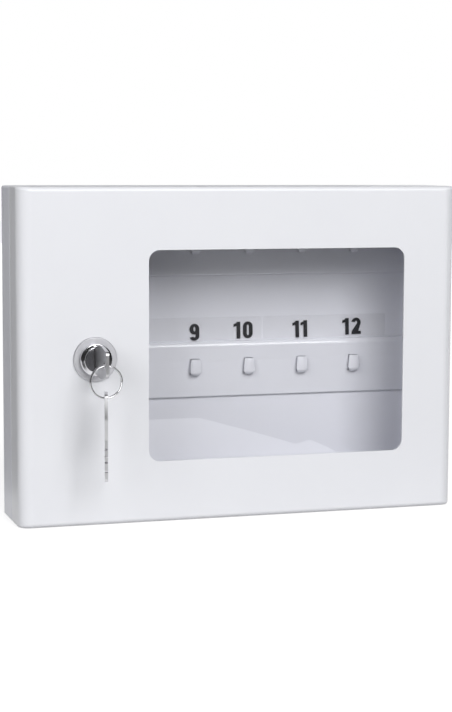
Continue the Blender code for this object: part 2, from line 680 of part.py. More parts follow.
def make_door():
    """The skin is a loft of the plan outline, because its edge radius changes on the way round."""
    steps = BEND_STEPS
    bm = bmesh.new()
    columns = []
    for place, inward, edge in door_stations():
        column = []
        for end in (1, 0):
            for index in range(steps + 1):
                angle = (steps - index if end else index) / steps * math.pi / 2
                inset = edge * (1 - math.cos(angle))
                rise = edge * (1 - math.sin(angle))
                height = CABINET_HEIGHT - rise if end else DOOR_BOTTOM_Z + rise
                column.append(bm.verts.new((place[0] + inward[0] * inset,
                                            place[1] + inward[1] * inset, height)))
        columns.append(column)
    for first, second in zip(columns, columns[1:]):
        for index in range(len(first) - 1):
            bm.faces.new((first[index], first[index + 1], second[index + 1], second[index]))
    chamfer_x = HINGE_X + math.sqrt((HINGE_FROM_CASING - HINGE_SWEEP_CLEARANCE) ** 2
                                    - (DOOR_REAR_Y - HINGE_Y) ** 2)
    for index, height in ((0, CABINET_HEIGHT), (-1, DOOR_BOTTOM_Z)):
        corner = bm.verts.new((chamfer_x, DOOR_REAR_Y, height))
        bm.faces.new([column[index] for column in columns] + [corner])
    mesh = mesh_of(bm, "door_shell")
    mesh.transform(Matrix.Translation(-door_axis.matrix_world.translation))
    door = place_object("door_shell", mesh, door_axis, door_axis.matrix_world.translation,
                        material=paint)
    solidify(door, SHEET)
    low = (LEFT_X + WINDOW_LEFT, WINDOW_BOTTOM)
    high = (low[0] + WINDOW_WIDTH, low[1] + WINDOW_HEIGHT)
    window = rounded_rectangle(low, high, WINDOW_CORNER, BEND_STEPS * 2)
    cut(door, extruded_along_y("window_cut", [window], DOOR_FRONT_Y - OVERRUN,
                               DOOR_INNER_Y + OVERRUN, door_axis))
    cut(door, cylinder("lock_hole", BARREL_DIAMETER / 2 + FIT,
                       (LOCK_X, DOOR_FRONT_Y - OVERRUN, LOCK_HEIGHT),
                       (LOCK_X, DOOR_INNER_Y + OVERRUN, LOCK_HEIGHT), door_axis, ROUND_STEPS))
    notch = SHEET + PIN_COLLAR_HEIGHT + HINGE_WASHER_THICKNESS + BRACKET_SHEET + FIT * 3
    notch += NOTCH_CLEARANCE
    for base, tip in ((DOOR_BOTTOM_Z, DOOR_BOTTOM_Z + notch), (CABINET_HEIGHT - notch, CABINET_HEIGHT)):
        inner_low = base + SHEET + FIT if base == DOOR_BOTTOM_Z else base
        inner_high = tip if base == DOOR_BOTTOM_Z else tip - SHEET - FIT
        cut(door, box("hinge_notch",
                      (RIGHT_X - SHEET - FIT, HINGE_Y - NOTCH_AHEAD_OF_PIN, inner_low),
                      (RIGHT_X + OVERRUN, DOOR_REAR_Y + OVERRUN, inner_high), door_axis))
    for base, tip in ((DOOR_BOTTOM_Z, DOOR_BOTTOM_Z + SHEET), (CABINET_HEIGHT - SHEET, CABINET_HEIGHT)):
        cut(door, cylinder("pin_hole", PIN_STUB_DIAMETER / 2 + FIT, (HINGE_X, HINGE_Y, base - OVERRUN),
                           (HINGE_X, HINGE_Y, tip + OVERRUN / 2), door_axis))
    return smooth(door)


make_door()


# Pane behind the window, held by two long strips and two side stops

PANE_FRONT_Y = DOOR_INNER_Y + FIT
PANE_BACK_Y = PANE_FRONT_Y + PANE_THICKNESS
PANE_LOW = (LEFT_X + WINDOW_LEFT - PANE_OVERLAP, WINDOW_BOTTOM - PANE_OVERLAP)
PANE_HIGH = (LEFT_X + WINDOW_LEFT + WINDOW_WIDTH + PANE_OVERLAP,
             WINDOW_BOTTOM + WINDOW_HEIGHT + PANE_OVERLAP)

box("window_pane", (PANE_LOW[0], PANE_FRONT_Y, PANE_LOW[1]),
    (PANE_HIGH[0], PANE_BACK_Y, PANE_HIGH[1]), door_axis, acrylic)


def strip_section(edge, outward):
    """The (Y, across) section of a strip that laps over one edge of the pane."""
    front = DOOR_INNER_Y + FIT
    lap = PANE_BACK_Y + FIT
    near = edge + outward * FIT
    return [(front, near), (front, near + outward * PANE_FOOT),
            (front + SHEET, near + outward * PANE_FOOT), (front + SHEET, near + outward * SHEET),
            (lap + SHEET, near + outward * SHEET), (lap + SHEET, edge - outward * PANE_LIP),
            (lap, edge - outward * PANE_LIP), (lap, near)]


extruded_along_x("pane_channel_upper", strip_section(PANE_HIGH[1], 1), PANE_LOW[0], PANE_HIGH[0],
                 door_axis, zinc)
extruded_along_x("pane_channel_lower", strip_section(PANE_LOW[1], -1), PANE_LOW[0], PANE_HIGH[0],
                 door_axis, zinc)
STOP_MIDDLE = (PANE_LOW[1] + PANE_HIGH[1]) / 2
for stop_name, stop_edge, stop_side in (("pane_stop_left", PANE_LOW[0], -1),
                                        ("pane_stop_right", PANE_HIGH[0], 1)):
    stop_outline = [(across, along) for along, across in strip_section(stop_edge, stop_side)]
    extruded_along_z(stop_name, [stop_outline], STOP_MIDDLE - PANE_STOP_LENGTH / 2,
                     STOP_MIDDLE + PANE_STOP_LENGTH / 2, door_axis, zinc)


# Hinges: a bracket on the casing's lip at each end, a pin riveted in the door's flange

def make_hinge(end, upward):
    """One hinge; upward is 1 at the bottom of the door and -1 at its top."""
    flange = DOOR_BOTTOM_Z if upward > 0 else CABINET_HEIGHT
    collar = flange + upward * (SHEET + FIT)
    washer = collar + upward * (PIN_COLLAR_HEIGHT + FIT)
    arm = washer + upward * (HINGE_WASHER_THICKNESS + FIT)
    arm_far = arm + upward * BRACKET_SHEET
    leg_far = arm + upward * BRACKET_HEIGHT
    tip = arm_far + upward * PIN_PAST_ARM
    pin_heights = (flange + upward * FIT / 2, collar, washer - upward * FIT, tip)
    stub, shank = PIN_STUB_DIAMETER / 2, PIN_DIAMETER / 2
    profile = [(0, pin_heights[3]), (shank, pin_heights[3]), (shank, pin_heights[2]),
               (PIN_COLLAR_DIAMETER / 2, pin_heights[2]), (PIN_COLLAR_DIAMETER / 2, pin_heights[1]),
               (stub, pin_heights[1]), (stub, pin_heights[0]), (0, pin_heights[0])]
    if upward < 0:
        profile.reverse()
    turned(f"hinge_pin_{end}", profile, door_axis, (HINGE_X, HINGE_Y, 0), zinc, SMALL_STEPS,
           turn=Matrix.Identity(4))
    low, high = sorted((washer, washer + upward * HINGE_WASHER_THICKNESS))
    bore = shank + FIT / 2
    rim = HINGE_WASHER_DIAMETER / 2
    turned(f"hinge_washer_{end}", [(rim, high), (rim, low), (bore, low), (bore, high)], cabinet_base,
           (HINGE_X, HINGE_Y, 0), nylon, SMALL_STEPS, turn=Matrix.Identity(4), closed=True)
    leg_back = CASING_FRONT_Y - FIT
    leg_front = leg_back - BRACKET_SHEET
    leg_right = HINGE_X - BRACKET_LEG_FROM_PIN
    leg_left = leg_right - BRACKET_LEG_LENGTH
    eye = BRACKET_EYE_RADIUS
    rear, inset = leg_back - BRACKET_SHEET / 2, BRACKET_SHEET / 2
    arm_outline = [(leg_left + inset, rear), (leg_left + inset, leg_front - inset)]
    arm_outline += arc((HINGE_X, HINGE_Y), eye, BRACKET_EYE_START, math.tau, BEND_STEPS * 2)
    arm_outline += [(leg_right + eye, leg_front - inset), (leg_right - inset, rear)]
    low, high = sorted((arm, arm_far))
    bracket = extruded_along_z(f"hinge_bracket_{end}", [arm_outline], low, high, cabinet_base, zinc)
    low, high = sorted((arm + upward * BRACKET_SHEET / 2, leg_far))
    unite(bracket, box("bracket_leg", (leg_left, leg_front, low), (leg_right, leg_back, high),
                       cabinet_base))
    cut(bracket, cylinder("bracket_bore", shank + FIT, (HINGE_X, HINGE_Y, arm - upward * OVERRUN),
                          (HINGE_X, HINGE_Y, arm_far + upward * OVERRUN), cabinet_base))
    rivet_z = (arm_far + leg_far) / 2
    for index, spot_share in enumerate(BRACKET_RIVET_SHARES):
        spot = (leg_left + BRACKET_LEG_LENGTH * spot_share, rivet_z)
        cut(bracket, rivet_hole(spot, leg_front, leg_back, cabinet_base))
        cut(rear_casing, rivet_hole(spot, CASING_FRONT_Y, CASING_FRONT_Y + SHEET, cabinet_base))
        head_y = leg_front - FIT
        grip = CASING_FRONT_Y + SHEET + FIT - head_y
        rivet(f"bracket_rivet_{end}_{index + 1}", spot, head_y, grip, True, cabinet_base)


make_hinge("lower", 1)
make_hinge("upper", -1)


# Lock: rosette, housing through the door, nut behind it, plug and cam

def lock_turned(name, profile, carrier, material, closed=False, steps=ROUND_STEPS):
    """A turned lock piece; heights run from the door's front face towards the viewer."""
    return turned(name, profile, carrier, (LOCK_X, DOOR_FRONT_Y, LOCK_HEIGHT), material, steps,
                  closed=closed)


ROSETTE_BACK = FIT
ROSETTE_FRONT = ROSETTE_BACK + ROSETTE_THICKNESS
HEAD_BACK = ROSETTE_FRONT + FIT
BARREL_BACK = DOOR_FRONT_Y - BARREL_REAR_Y

lock_turned("lock_rosette", [
    (BARREL_DIAMETER / 2 + FIT, ROSETTE_FRONT),
    (ROSETTE_DIAMETER / 2 - ROSETTE_EDGE, ROSETTE_FRONT),
    (ROSETTE_DIAMETER / 2 - ROSETTE_EDGE * ROSETTE_EDGE_SHARE,
     ROSETTE_FRONT - ROSETTE_EDGE * ROSETTE_EDGE_SHARE),
    (ROSETTE_DIAMETER / 2, ROSETTE_FRONT - ROSETTE_EDGE),
    (ROSETTE_DIAMETER / 2, ROSETTE_BACK),
    (BARREL_DIAMETER / 2 + FIT, ROSETTE_BACK),
], door_axis, satin, closed=True)

COUNTERBORE = PLUG_FACE_THICKNESS + PLUG_RECESS + FIT
HEAD_SIDE_FRONT = HEAD_PROUD - HEAD_CROWN
HEAD_CROWN_MIDDLE = (HEAD_DIAMETER + HEAD_FACE_DIAMETER) / 4
lock_housing = lock_turned("lock_housing", [
    (PLUG_FACE_DIAMETER / 2 + FIT, HEAD_PROUD),
    (HEAD_FACE_DIAMETER / 2, HEAD_PROUD),
    (HEAD_CROWN_MIDDLE + HEAD_CROWN * HEAD_CROWN_OUT_SHARE,
     HEAD_PROUD - HEAD_CROWN * HEAD_CROWN_DROP_SHARE),
    (HEAD_DIAMETER / 2, HEAD_SIDE_FRONT),
    (HEAD_DIAMETER / 2, HEAD_BACK),
    (BARREL_DIAMETER / 2, HEAD_BACK),
    (BARREL_DIAMETER / 2, BARREL_BACK),
    (PLUG_DIAMETER / 2 + FIT, BARREL_BACK),
    (PLUG_DIAMETER / 2 + FIT, HEAD_PROUD - COUNTERBORE),
    (PLUG_FACE_DIAMETER / 2 + FIT, HEAD_PROUD - COUNTERBORE),
], door_axis, chrome, closed=True)
groove_reach = PLUG_DIAMETER / 2 + LOCK_GROOVE_DEPTH
cut(lock_housing, box("wafer_groove",
                      (LOCK_X - WAFER_WIDTH / 2 - FIT, DOOR_INNER_Y, LOCK_HEIGHT - groove_reach),
                      (LOCK_X + WAFER_WIDTH / 2 + FIT, BARREL_REAR_Y + OVERRUN,
                       LOCK_HEIGHT + groove_reach), door_axis))

nut_radius = NUT_ACROSS_FLATS / 2 / math.cos(math.pi / NUT_SIDES)
nut_front = DOOR_INNER_Y + FIT
nut_outline = [(LOCK_X + nut_radius * math.cos(math.tau / NUT_SIDES * corner),
                LOCK_HEIGHT + nut_radius * math.sin(math.tau / NUT_SIDES * corner))
               for corner in range(NUT_SIDES)]
lock_nut = extruded_along_y("lock_nut", [nut_outline], nut_front, nut_front + NUT_THICKNESS,
                            door_axis, zinc)
cut(lock_nut, cylinder("nut_bore", BARREL_DIAMETER / 2 + FIT,
                       (LOCK_X, nut_front - OVERRUN, LOCK_HEIGHT),
                       (LOCK_X, nut_front + NUT_THICKNESS + OVERRUN, LOCK_HEIGHT), door_axis,
                       ROUND_STEPS))

PLUG_FRONT = HEAD_PROUD - PLUG_RECESS
PLUG_REAR_Y = CAM_FRONT_Y - FIT
lock_plug = lock_turned("lock_plug", [
    (0, PLUG_FRONT),
    (PLUG_FACE_DIAMETER / 2, PLUG_FRONT),
    (PLUG_FACE_DIAMETER / 2, PLUG_FRONT - PLUG_FACE_THICKNESS),
    (PLUG_DIAMETER / 2, PLUG_FRONT - PLUG_FACE_THICKNESS),
    (PLUG_DIAMETER / 2, DOOR_FRONT_Y - PLUG_REAR_Y),
    (0, DOOR_FRONT_Y - PLUG_REAR_Y),
], plug_axis, chrome)
unite(lock_plug, box("plug_tail",
                     (LOCK_X - TAIL_SQUARE / 2, PLUG_REAR_Y - SHEET, LOCK_HEIGHT - TAIL_SQUARE / 2),
                     (LOCK_X + TAIL_SQUARE / 2, TAIL_REAR_Y, LOCK_HEIGHT + TAIL_SQUARE / 2),
                     plug_axis))
keyway_end_y = HEAD_FACE_Y + BLADE_LENGTH + KEYWAY_END_CLEARANCE
cut(lock_plug, box("keyway",
                   (LOCK_X - KEYWAY_WIDTH / 2, HEAD_FACE_Y - OVERRUN, LOCK_HEIGHT - KEYWAY_HEIGHT / 2),
                   (LOCK_X + KEYWAY_WIDTH / 2, keyway_end_y, LOCK_HEIGHT + KEYWAY_HEIGHT / 2),
                   plug_axis))
screw_bore = SCREW_DIAMETER / 2 + FIT
cut(lock_plug, cylinder("screw_bore", screw_bore, (LOCK_X, TAIL_REAR_Y - SCREW_LENGTH, LOCK_HEIGHT),
                        (LOCK_X, TAIL_REAR_Y + OVERRUN, LOCK_HEIGHT), plug_axis))
wafer_half = WAFER_WIDTH / 2
wafer_reach = PLUG_DIAMETER / 2 - WAFER_RIM
for index in range(WAFER_COUNT):
    wafer_y = DOOR_FRONT_Y + WAFER_FIRST + index * WAFER_PITCH - HEAD_PROUD
    half = WAFER_THICKNESS / 2
    cut(lock_plug, box("wafer_slot",
                       (LOCK_X - wafer_half - FIT, wafer_y - half - FIT, LOCK_HEIGHT - PLUG_DIAMETER),
                       (LOCK_X + wafer_half + FIT, wafer_y + half + FIT, LOCK_HEIGHT + PLUG_DIAMETER),
                       plug_axis))
    top = math.sqrt(wafer_reach ** 2 - wafer_half ** 2)
    wafer = box(f"lock_wafer_{index + 1}", (LOCK_X - wafer_half, wafer_y - half, LOCK_HEIGHT - top),
                (LOCK_X + wafer_half, wafer_y + half, LOCK_HEIGHT + top), plug_axis, brass)
    cut(wafer, box("wafer_window",
                   (LOCK_X - KEYWAY_WIDTH / 2, wafer_y - OVERRUN, LOCK_HEIGHT - KEYWAY_HEIGHT / 2),
                   (LOCK_X + KEYWAY_WIDTH / 2, wafer_y + OVERRUN, LOCK_HEIGHT + KEYWAY_HEIGHT / 2),
                   plug_axis))


def make_cam():
    """The cam hangs down at rest and turns to the left behind the casing's lip."""
    root, tip, corner = CAM_WIDTH / 2, CAM_TIP_WIDTH / 2, CAM_TIP_RADIUS
    reach = LOCK_HEIGHT - CAM_REACH
    outline = arc((LOCK_X, LOCK_HEIGHT), root, 0, math.pi, SMALL_STEPS // 2)
    outline += [(LOCK_X - root, LOCK_HEIGHT - root), (LOCK_X - tip, LOCK_HEIGHT - root * 2)]
    outline += arc((LOCK_X - tip + corner, reach + corner), corner, math.pi, math.pi * 1.5,
                   BEND_STEPS)
    outline += arc((LOCK_X + tip - corner, reach + corner), corner, math.pi * 1.5, math.tau,
                   BEND_STEPS)
    outline += [(LOCK_X + tip, LOCK_HEIGHT - root * 2), (LOCK_X + root, LOCK_HEIGHT - root)]
    square = TAIL_SQUARE / 2 + FIT
    hole = [(LOCK_X - square, LOCK_HEIGHT - square), (LOCK_X - square, LOCK_HEIGHT + square),
            (LOCK_X + square, LOCK_HEIGHT + square), (LOCK_X + square, LOCK_HEIGHT - square)]
    return extruded_along_y("lock_cam", [outline, hole], CAM_FRONT_Y, CAM_REAR_Y, plug_axis, zinc)


make_cam()
WASHER_Y = TAIL_REAR_Y + FIT
washer_back = DOOR_FRONT_Y - WASHER_Y - CAM_WASHER_THICKNESS
lock_turned("cam_washer", [
    (CAM_WASHER_DIAMETER / 2, DOOR_FRONT_Y - WASHER_Y),
    (CAM_WASHER_DIAMETER / 2, washer_back),
    (screw_bore, washer_back),
    (screw_bore, DOOR_FRONT_Y - WASHER_Y),
], plug_axis, zinc, closed=True, steps=SMALL_STEPS)
screw_head = washer_back - FIT
cam_screw = lock_turned("cam_screw", [
    (0, DOOR_FRONT_Y - TAIL_REAR_Y + SCREW_LENGTH - FIT),
    (SCREW_DIAMETER / 2, DOOR_FRONT_Y - TAIL_REAR_Y + SCREW_LENGTH - FIT),
    (SCREW_DIAMETER / 2, screw_head),
    (SCREW_HEAD_DIAMETER / 2, screw_head),
    (SCREW_HEAD_DIAMETER / 2, screw_head - SCREW_HEAD_HEIGHT * SCREW_RIM_SHARE),
    (SCREW_HEAD_DIAMETER / 2 * SCREW_TOP_SHARE, screw_head - SCREW_HEAD_HEIGHT),
    (0, screw_head - SCREW_HEAD_HEIGHT),
], plug_axis, zinc, steps=SMALL_STEPS)
slot_y = DOOR_FRONT_Y - screw_head + SCREW_HEAD_HEIGHT
cut(cam_screw, box("screw_slot",
                   (LOCK_X - SCREW_HEAD_DIAMETER, slot_y - SCREW_SLOT_DEPTH,
                    LOCK_HEIGHT - SCREW_SLOT_WIDTH / 2),
                   (LOCK_X + SCREW_HEAD_DIAMETER, slot_y + OVERRUN, LOCK_HEIGHT + SCREW_SLOT_WIDTH / 2),
                   plug_axis))


# Keys: one outline along local X from the bow's end to the tip, thickness along local Z

def key_outline():
    """The outline of bow and blade, with the notches of its cut edge."""
    end, wide, blade = BOW_END_WIDTH / 2, BOW_WIDTH / 2, BLADE_WIDTH / 2
    corner, total = BOW_CORNER, BOW_LENGTH + BLADE_LENGTH
    points = arc((corner, end - corner), corner, math.pi / 2, math.pi, BEND_STEPS + 1)
    points += arc((corner, corner - end), corner, math.pi, math.pi * 1.5, BEND_STEPS + 1)
    wide_start, wide_stop = (BOW_LENGTH * share for share in BOW_WIDE_SHARES)
    points += [(wide_start, -wide), (wide_stop, -wide), (BOW_LENGTH, -end),
               (BOW_LENGTH, -blade)]
    for place, depth in sorted(zip(KEY_NOTCH_PLACES, KEY_NOTCH_DEPTHS), reverse=True):
        middle = total - place
        points += [(middle - KEY_NOTCH_WIDTH / 2, -blade), (middle, depth - blade),
                   (middle + KEY_NOTCH_WIDTH / 2, -blade)]
    points += [(total - BLADE_TIP, -blade), (total, -blade + BLADE_TIP), (total, blade - BLADE_TIP),
               (total - BLADE_TIP, blade), (BOW_LENGTH, blade), (BOW_LENGTH, end),
               (wide_stop, wide), (wide_start, wide)]
    return points


def make_key(name, carrier, along, across, origin_along, origin_across):
    """A key whose local X and Y follow two world directions, its origin on a joint's axis."""
    hole = arc((HOLE_FROM_END, 0), BOW_HOLE_DIAMETER / 2, 0, math.tau * (1 - 1 / SMALL_STEPS),
               SMALL_STEPS - 1)
    mesh = flat_mesh(name, [key_outline(), hole], KEY_THICKNESS)
    shift = Matrix.Translation((-origin_along, -origin_across, 0))
    mesh.transform(shift)
    normal = Vector(along).cross(Vector(across))
    turn = Matrix((Vector(along), Vector(across), normal)).transposed().to_4x4()
    mesh.transform(turn)
    place = carrier.matrix_world.translation
    key = place_object(name, mesh, carrier, place, material=nickel)
    for side in (-1, 1):
        groove = bmesh.new()
        bmesh.ops.create_cube(groove, size=1.0)
        size = (BLADE_LENGTH + OVERRUN, KEY_GROOVE_WIDTH, KEY_GROOVE_DEPTH * 2)
        bmesh.ops.scale(groove, vec=size, verts=groove.verts)
        middle = (BOW_LENGTH + BLADE_LENGTH / 2 + OVERRUN, side * KEY_GROOVE_WIDTH / 2,
                  side * KEY_THICKNESS / 2)
        bmesh.ops.translate(groove, vec=middle, verts=groove.verts)
        groove_mesh = mesh_of(groove, "key_groove")
        groove_mesh.transform(shift)
        groove_mesh.transform(turn)
        cut(key, place_object("key_groove", groove_mesh, carrier, place))


make_key("door_key", key_axis, (0, 1, 0), (0, 0, 1), BOW_LENGTH + BOW_SHOULDER_GAP, 0)
spare_across = (-math.sin(SPARE_TWIST), math.cos(SPARE_TWIST), 0)
make_key("spare_key", spare_axis, (0, 0, -1), spare_across, HOLE_FROM_END - RING_HOLE_OFFSET, 0)


# Split ring: two coils side by side with one step between them

def ring_points():
    """Points of the wire's middle line, relative to the ring's middle."""
    points = []
    span = RING_TURNS * math.tau - RING_STEP_ANGLE
    count = RING_POINTS_PER_TURN * RING_TURNS
    for index in range(count + 1):
        angle = span * index / count
        turn_start = math.tau - RING_STEP_ANGLE
        share = min(max((angle - turn_start) / RING_STEP_ANGLE, 0.0), 1.0)
        side = (share * share * (3 - 2 * share) - 0.5) * RING_PITCH
        points.append(Vector((RING_RADIUS * math.cos(angle), side, RING_RADIUS * math.sin(angle))))
    return points


def least_gap(points, wire, skip):
    """The least clear gap of a wire to its own other turns."""
    gaps = [(first - second).length - wire for place, first in enumerate(points)
            for second in points[place + skip:]]
    return min(gaps)


def make_ring():
    """The ring as one unbroken tube, its origin at the top where it passes the bow."""
    points = ring_points()
    print("key ring, least gap to itself in mm:",
          round(least_gap(points, RING_WIRE, RING_POINTS_PER_TURN // 2) / MM, 3))
    curve = bpy.data.curves.new("key_ring", "CURVE")
    curve.dimensions = "3D"
    curve.bevel_depth = RING_WIRE / 2
    curve.bevel_resolution = 1
    curve.use_fill_caps = True
    spline = curve.splines.new("POLY")
    spline.points.add(len(points) - 1)
    for point, place in zip(spline.points, points):
        point.co = (place.x, place.y, place.z - RING_RADIUS, 1)
    place_object("key_ring", curve, ring_axis, ring_axis.matrix_world.translation)
    curve.materials.append(nickel)


make_ring()
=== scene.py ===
"""Looks of a steel key cabinet with a windowed door, a cam lock, two keys and two hook rails.

Metres, +Z up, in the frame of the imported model: the origin is the middle of the casing's bottom
face, +X is to the right of someone who faces the door, and +Y runs towards the wall.
"""

import logging
import math
from collections.abc import Iterable, Sequence
from dataclasses import dataclass, field
from enum import Enum
from functools import cached_property

import bmesh
import bpy
from mathutils import Matrix, Vector


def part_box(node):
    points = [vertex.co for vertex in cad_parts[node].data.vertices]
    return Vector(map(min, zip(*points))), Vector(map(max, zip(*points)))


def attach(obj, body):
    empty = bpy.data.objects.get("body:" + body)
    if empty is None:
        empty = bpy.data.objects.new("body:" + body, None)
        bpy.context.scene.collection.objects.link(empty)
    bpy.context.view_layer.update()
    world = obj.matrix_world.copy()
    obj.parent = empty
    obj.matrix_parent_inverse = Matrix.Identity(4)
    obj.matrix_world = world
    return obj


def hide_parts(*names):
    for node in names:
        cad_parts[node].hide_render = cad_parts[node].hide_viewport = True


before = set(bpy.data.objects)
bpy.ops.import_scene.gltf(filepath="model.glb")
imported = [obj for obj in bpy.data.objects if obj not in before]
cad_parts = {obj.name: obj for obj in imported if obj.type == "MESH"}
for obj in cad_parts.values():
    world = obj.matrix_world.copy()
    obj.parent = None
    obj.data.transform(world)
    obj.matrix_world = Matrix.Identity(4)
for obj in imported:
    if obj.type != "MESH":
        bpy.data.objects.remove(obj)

MM = 0.001
WELD = 0.004 * MM
SLIVER = 0.03 * MM
LEVEL_BOOLEAN = math.radians(0.5)
LEVEL_NODE = math.radians(1.0)
ROUNDED_EDGE = math.radians(40.0)
SHARP_IF_PLAIN = math.radians(35.0)
SHARP_IF_ROUNDED = math.radians(60.0)
ALONG_Y = Vector((0.0, 1.0, 0.0))
ALONG_Z = Vector((0.0, 0.0, 1.0))

FLOAT = "NodeSocketFloat"
COLOUR = "NodeSocketColor"
VECTOR = "NodeSocketVector"
PEEL_DETAIL = 2.0
MARK_DETAIL = 3.0
CLOUD_DETAIL = 4.0

Colour = tuple[float, float, float]
Point = tuple[float, float]
Place = Sequence[float]

log = logging.getLogger("key_cabinet")


def from_screen(red: int, green: int, blue: int) -> Colour:
    """Turns a colour as seen on a screen into the linear values that a shader takes.

    Args:
        red: Red, 0 to 255.
        green: Green, 0 to 255.
        blue: Blue, 0 to 255.

    Returns:
        The three linear values.
    """
    shares = (value / 255.0 for value in (red, green, blue))
    return tuple(s / 12.92 if s <= 0.04045 else ((s + 0.055) / 1.055) ** 2.4 for s in shares)


class Wiring:
    """Adds nodes to one node tree and joins their sockets."""

    def __init__(self, tree: bpy.types.NodeTree) -> None:
        """Keeps the tree that the nodes go into."""
        self.tree = tree

    def add(self, kind: str, **settings: object) -> bpy.types.Node:
        """Adds a node.

        Args:
            kind: The node's type name, without its ShaderNode prefix.
            settings: Properties of the node.

        Returns:
            The new node.
        """
        prefix = "" if kind.startswith("NodeGroup") else "ShaderNode"
        node = self.tree.nodes.new(prefix + kind)
        for name, value in settings.items():
            setattr(node, name, value)
        return node

    def fill(self, target: bpy.types.NodeSocket, source: object) -> None:
        """Links an output to an input, or sets the input's value.

        Args:
            target: The input.
            source: An output, or a plain value.
        """
        if isinstance(source, bpy.types.NodeSocket):
            self.tree.links.new(source, target)
        else:
            target.default_value = source

    def feed(self, node: bpy.types.Node, **sources: object) -> bpy.types.Node:
        """Fills the named inputs of a node.

        Args:
            node: The node.
            sources: Outputs or plain values by the input's name, with _ for a space.

        Returns:
            The same node.
        """
        for name, source in sources.items():
            self.fill(node.inputs[name.replace("_", " ")], source)
        return node

    def combine(self, kind: str, operation: str, first: object,
                second: object) -> bpy.types.NodeSocket:
        """Adds a Math or VectorMath node with two inputs.

        Args:
            kind: Math or VectorMath.
            operation: What the node works out.
            first: Its first input, an output or a value.
            second: Its second input, an output or a value.

        Returns:
            The node's output.
        """
        node = self.add(kind, operation=operation)
        self.fill(node.inputs[0], first)
        self.fill(node.inputs[1], second)
        return node.outputs[0]

    def clouds(self, place: bpy.types.NodeSocket, scale: object, detail: float) -> bpy.types.NodeSocket:
        """Adds a noise texture.

        Args:
            place: Where it is read.
            scale: Its scale, an output or a number.
            detail: Its fine detail.

        Returns:
            Its height, 0 to 1.
        """
        noise = self.feed(self.add("TexNoise"), Vector=place, Scale=scale, Detail=detail)
        return noise.outputs["Fac"]

    def on_piece(self) -> bpy.types.NodeSocket:
        """The piece's own coordinates."""
        return self.add("TexCoord").outputs["Object"]

    def group(self, tree: bpy.types.NodeTree, **values: object) -> bpy.types.Node:
        """Places a shared node group with its values, given by name with _ for a space."""
        return self.feed(self.add("Group", node_tree=tree), **values)


class Effects:
    """Node groups that several finishes share. Each is built once, when it is first asked for."""

    @staticmethod
    def _open(name: str, inputs: dict[str, tuple[str, object]],
              outputs: dict[str, str]) -> tuple[Wiring, bpy.types.NodeOutputs, bpy.types.Node]:
        """Makes an empty group.

        Args:
            name: The group's name.
            inputs: Socket type and default by name.
            outputs: Socket type by name.

        Returns:
            The wiring, the sockets that the group is given, and its output node.
        """
        tree = bpy.data.node_groups.new(name, "ShaderNodeTree")
        for label, (kind, value) in inputs.items():
            socket = tree.interface.new_socket(label, in_out="INPUT", socket_type=kind)
            socket.default_value = value
        for label, kind in outputs.items():
            tree.interface.new_socket(label, in_out="OUTPUT", socket_type=kind)
        wiring = Wiring(tree)
        return wiring, wiring.add("NodeGroupInput").outputs, wiring.add("NodeGroupOutput")

    @cached_property
    def peel(self) -> bpy.types.NodeTree:
        """The faint dimples of baked paint and of pressed plate, as a height.

        Returns:
            The group.
        """
        wiring, given, made = self._open("peel", {"Scale": (FLOAT, 900.0)}, {"Height": FLOAT})
        wiring.feed(made, Height=wiring.clouds(wiring.on_piece(), given["Scale"], PEEL_DETAIL))
        return wiring.tree

    @cached_property
    def mottle(self) -> bpy.types.NodeTree:
        """Slow, cloudy changes of tone and of roughness over a surface.

        Returns:
            The group.
        """
        inputs = {
            "Colour": (COLOUR, (0.8, 0.8, 0.8, 1.0)),
            "Shade": (COLOUR, (0.7, 0.7, 0.7, 1.0)),
            "Scale": (FLOAT, 30.0),
            "Smooth": (FLOAT, 0.3),
            "Rough": (FLOAT, 0.5),
        }
        wiring, given, made = self._open("mottle", inputs, {"Colour": COLOUR, "Roughness": FLOAT})
        cloud = wiring.clouds(wiring.on_piece(), given["Scale"], CLOUD_DETAIL)
        mix = wiring.feed(wiring.add("Mix", data_type="RGBA"), Factor=cloud, A=given["Colour"],
                          B=given["Shade"])
        spread = wiring.feed(wiring.add("MapRange"), Value=cloud, To_Min=given["Smooth"],
                             To_Max=given["Rough"])
        wiring.feed(made, Colour=mix.outputs["Result"], Roughness=spread.outputs["Result"])
        return wiring.tree

    @cached_property
    def streaks(self) -> bpy.types.NodeTree:
        """Fine straight scratches of rolled or ground plate, as a height.

        Returns:
            The group.
        """
        wiring, given, made = self._open("streaks", {"Stretch": (VECTOR, (60.0, 1500.0, 1500.0))},
                                         {"Height": FLOAT})
        place = wiring.combine("VectorMath", "MULTIPLY", wiring.on_piece(), given["Stretch"])
        wiring.feed(made, Height=wiring.clouds(place, 1.0, MARK_DETAIL))
        return wiring.tree

    @cached_property
    def turning(self) -> bpy.types.NodeTree:
        """Fine rings that a lathe leaves round an axis along Y, as a height.

        Returns:
            The group.
        """
        inputs = {"Centre": (VECTOR, (0.0, 0.0, 0.0)), "Scale": (FLOAT, 2500.0)}
        wiring, given, made = self._open("turning", inputs, {"Height": FLOAT})
        away = wiring.combine("VectorMath", "SUBTRACT", wiring.on_piece(), given["Centre"])
        flat = wiring.combine("VectorMath", "MULTIPLY", away, (1.0, 0.0, 1.0))
        reach = wiring.add("VectorMath", operation="LENGTH")
        wiring.fill(reach.inputs[0], flat)
        noise = wiring.feed(wiring.add("TexNoise", noise_dimensions="1D"), W=reach.outputs["Value"],
                            Scale=given["Scale"], Detail=MARK_DETAIL)
        wiring.feed(made, Height=noise.outputs["Fac"])
        return wiring.tree


EFFECTS = Effects()


class Grain(Enum):
    """The direction of the fine marks on a surface."""

    EVEN = "even"
    ROLLED = "rolled"
    TURNED = "turned"


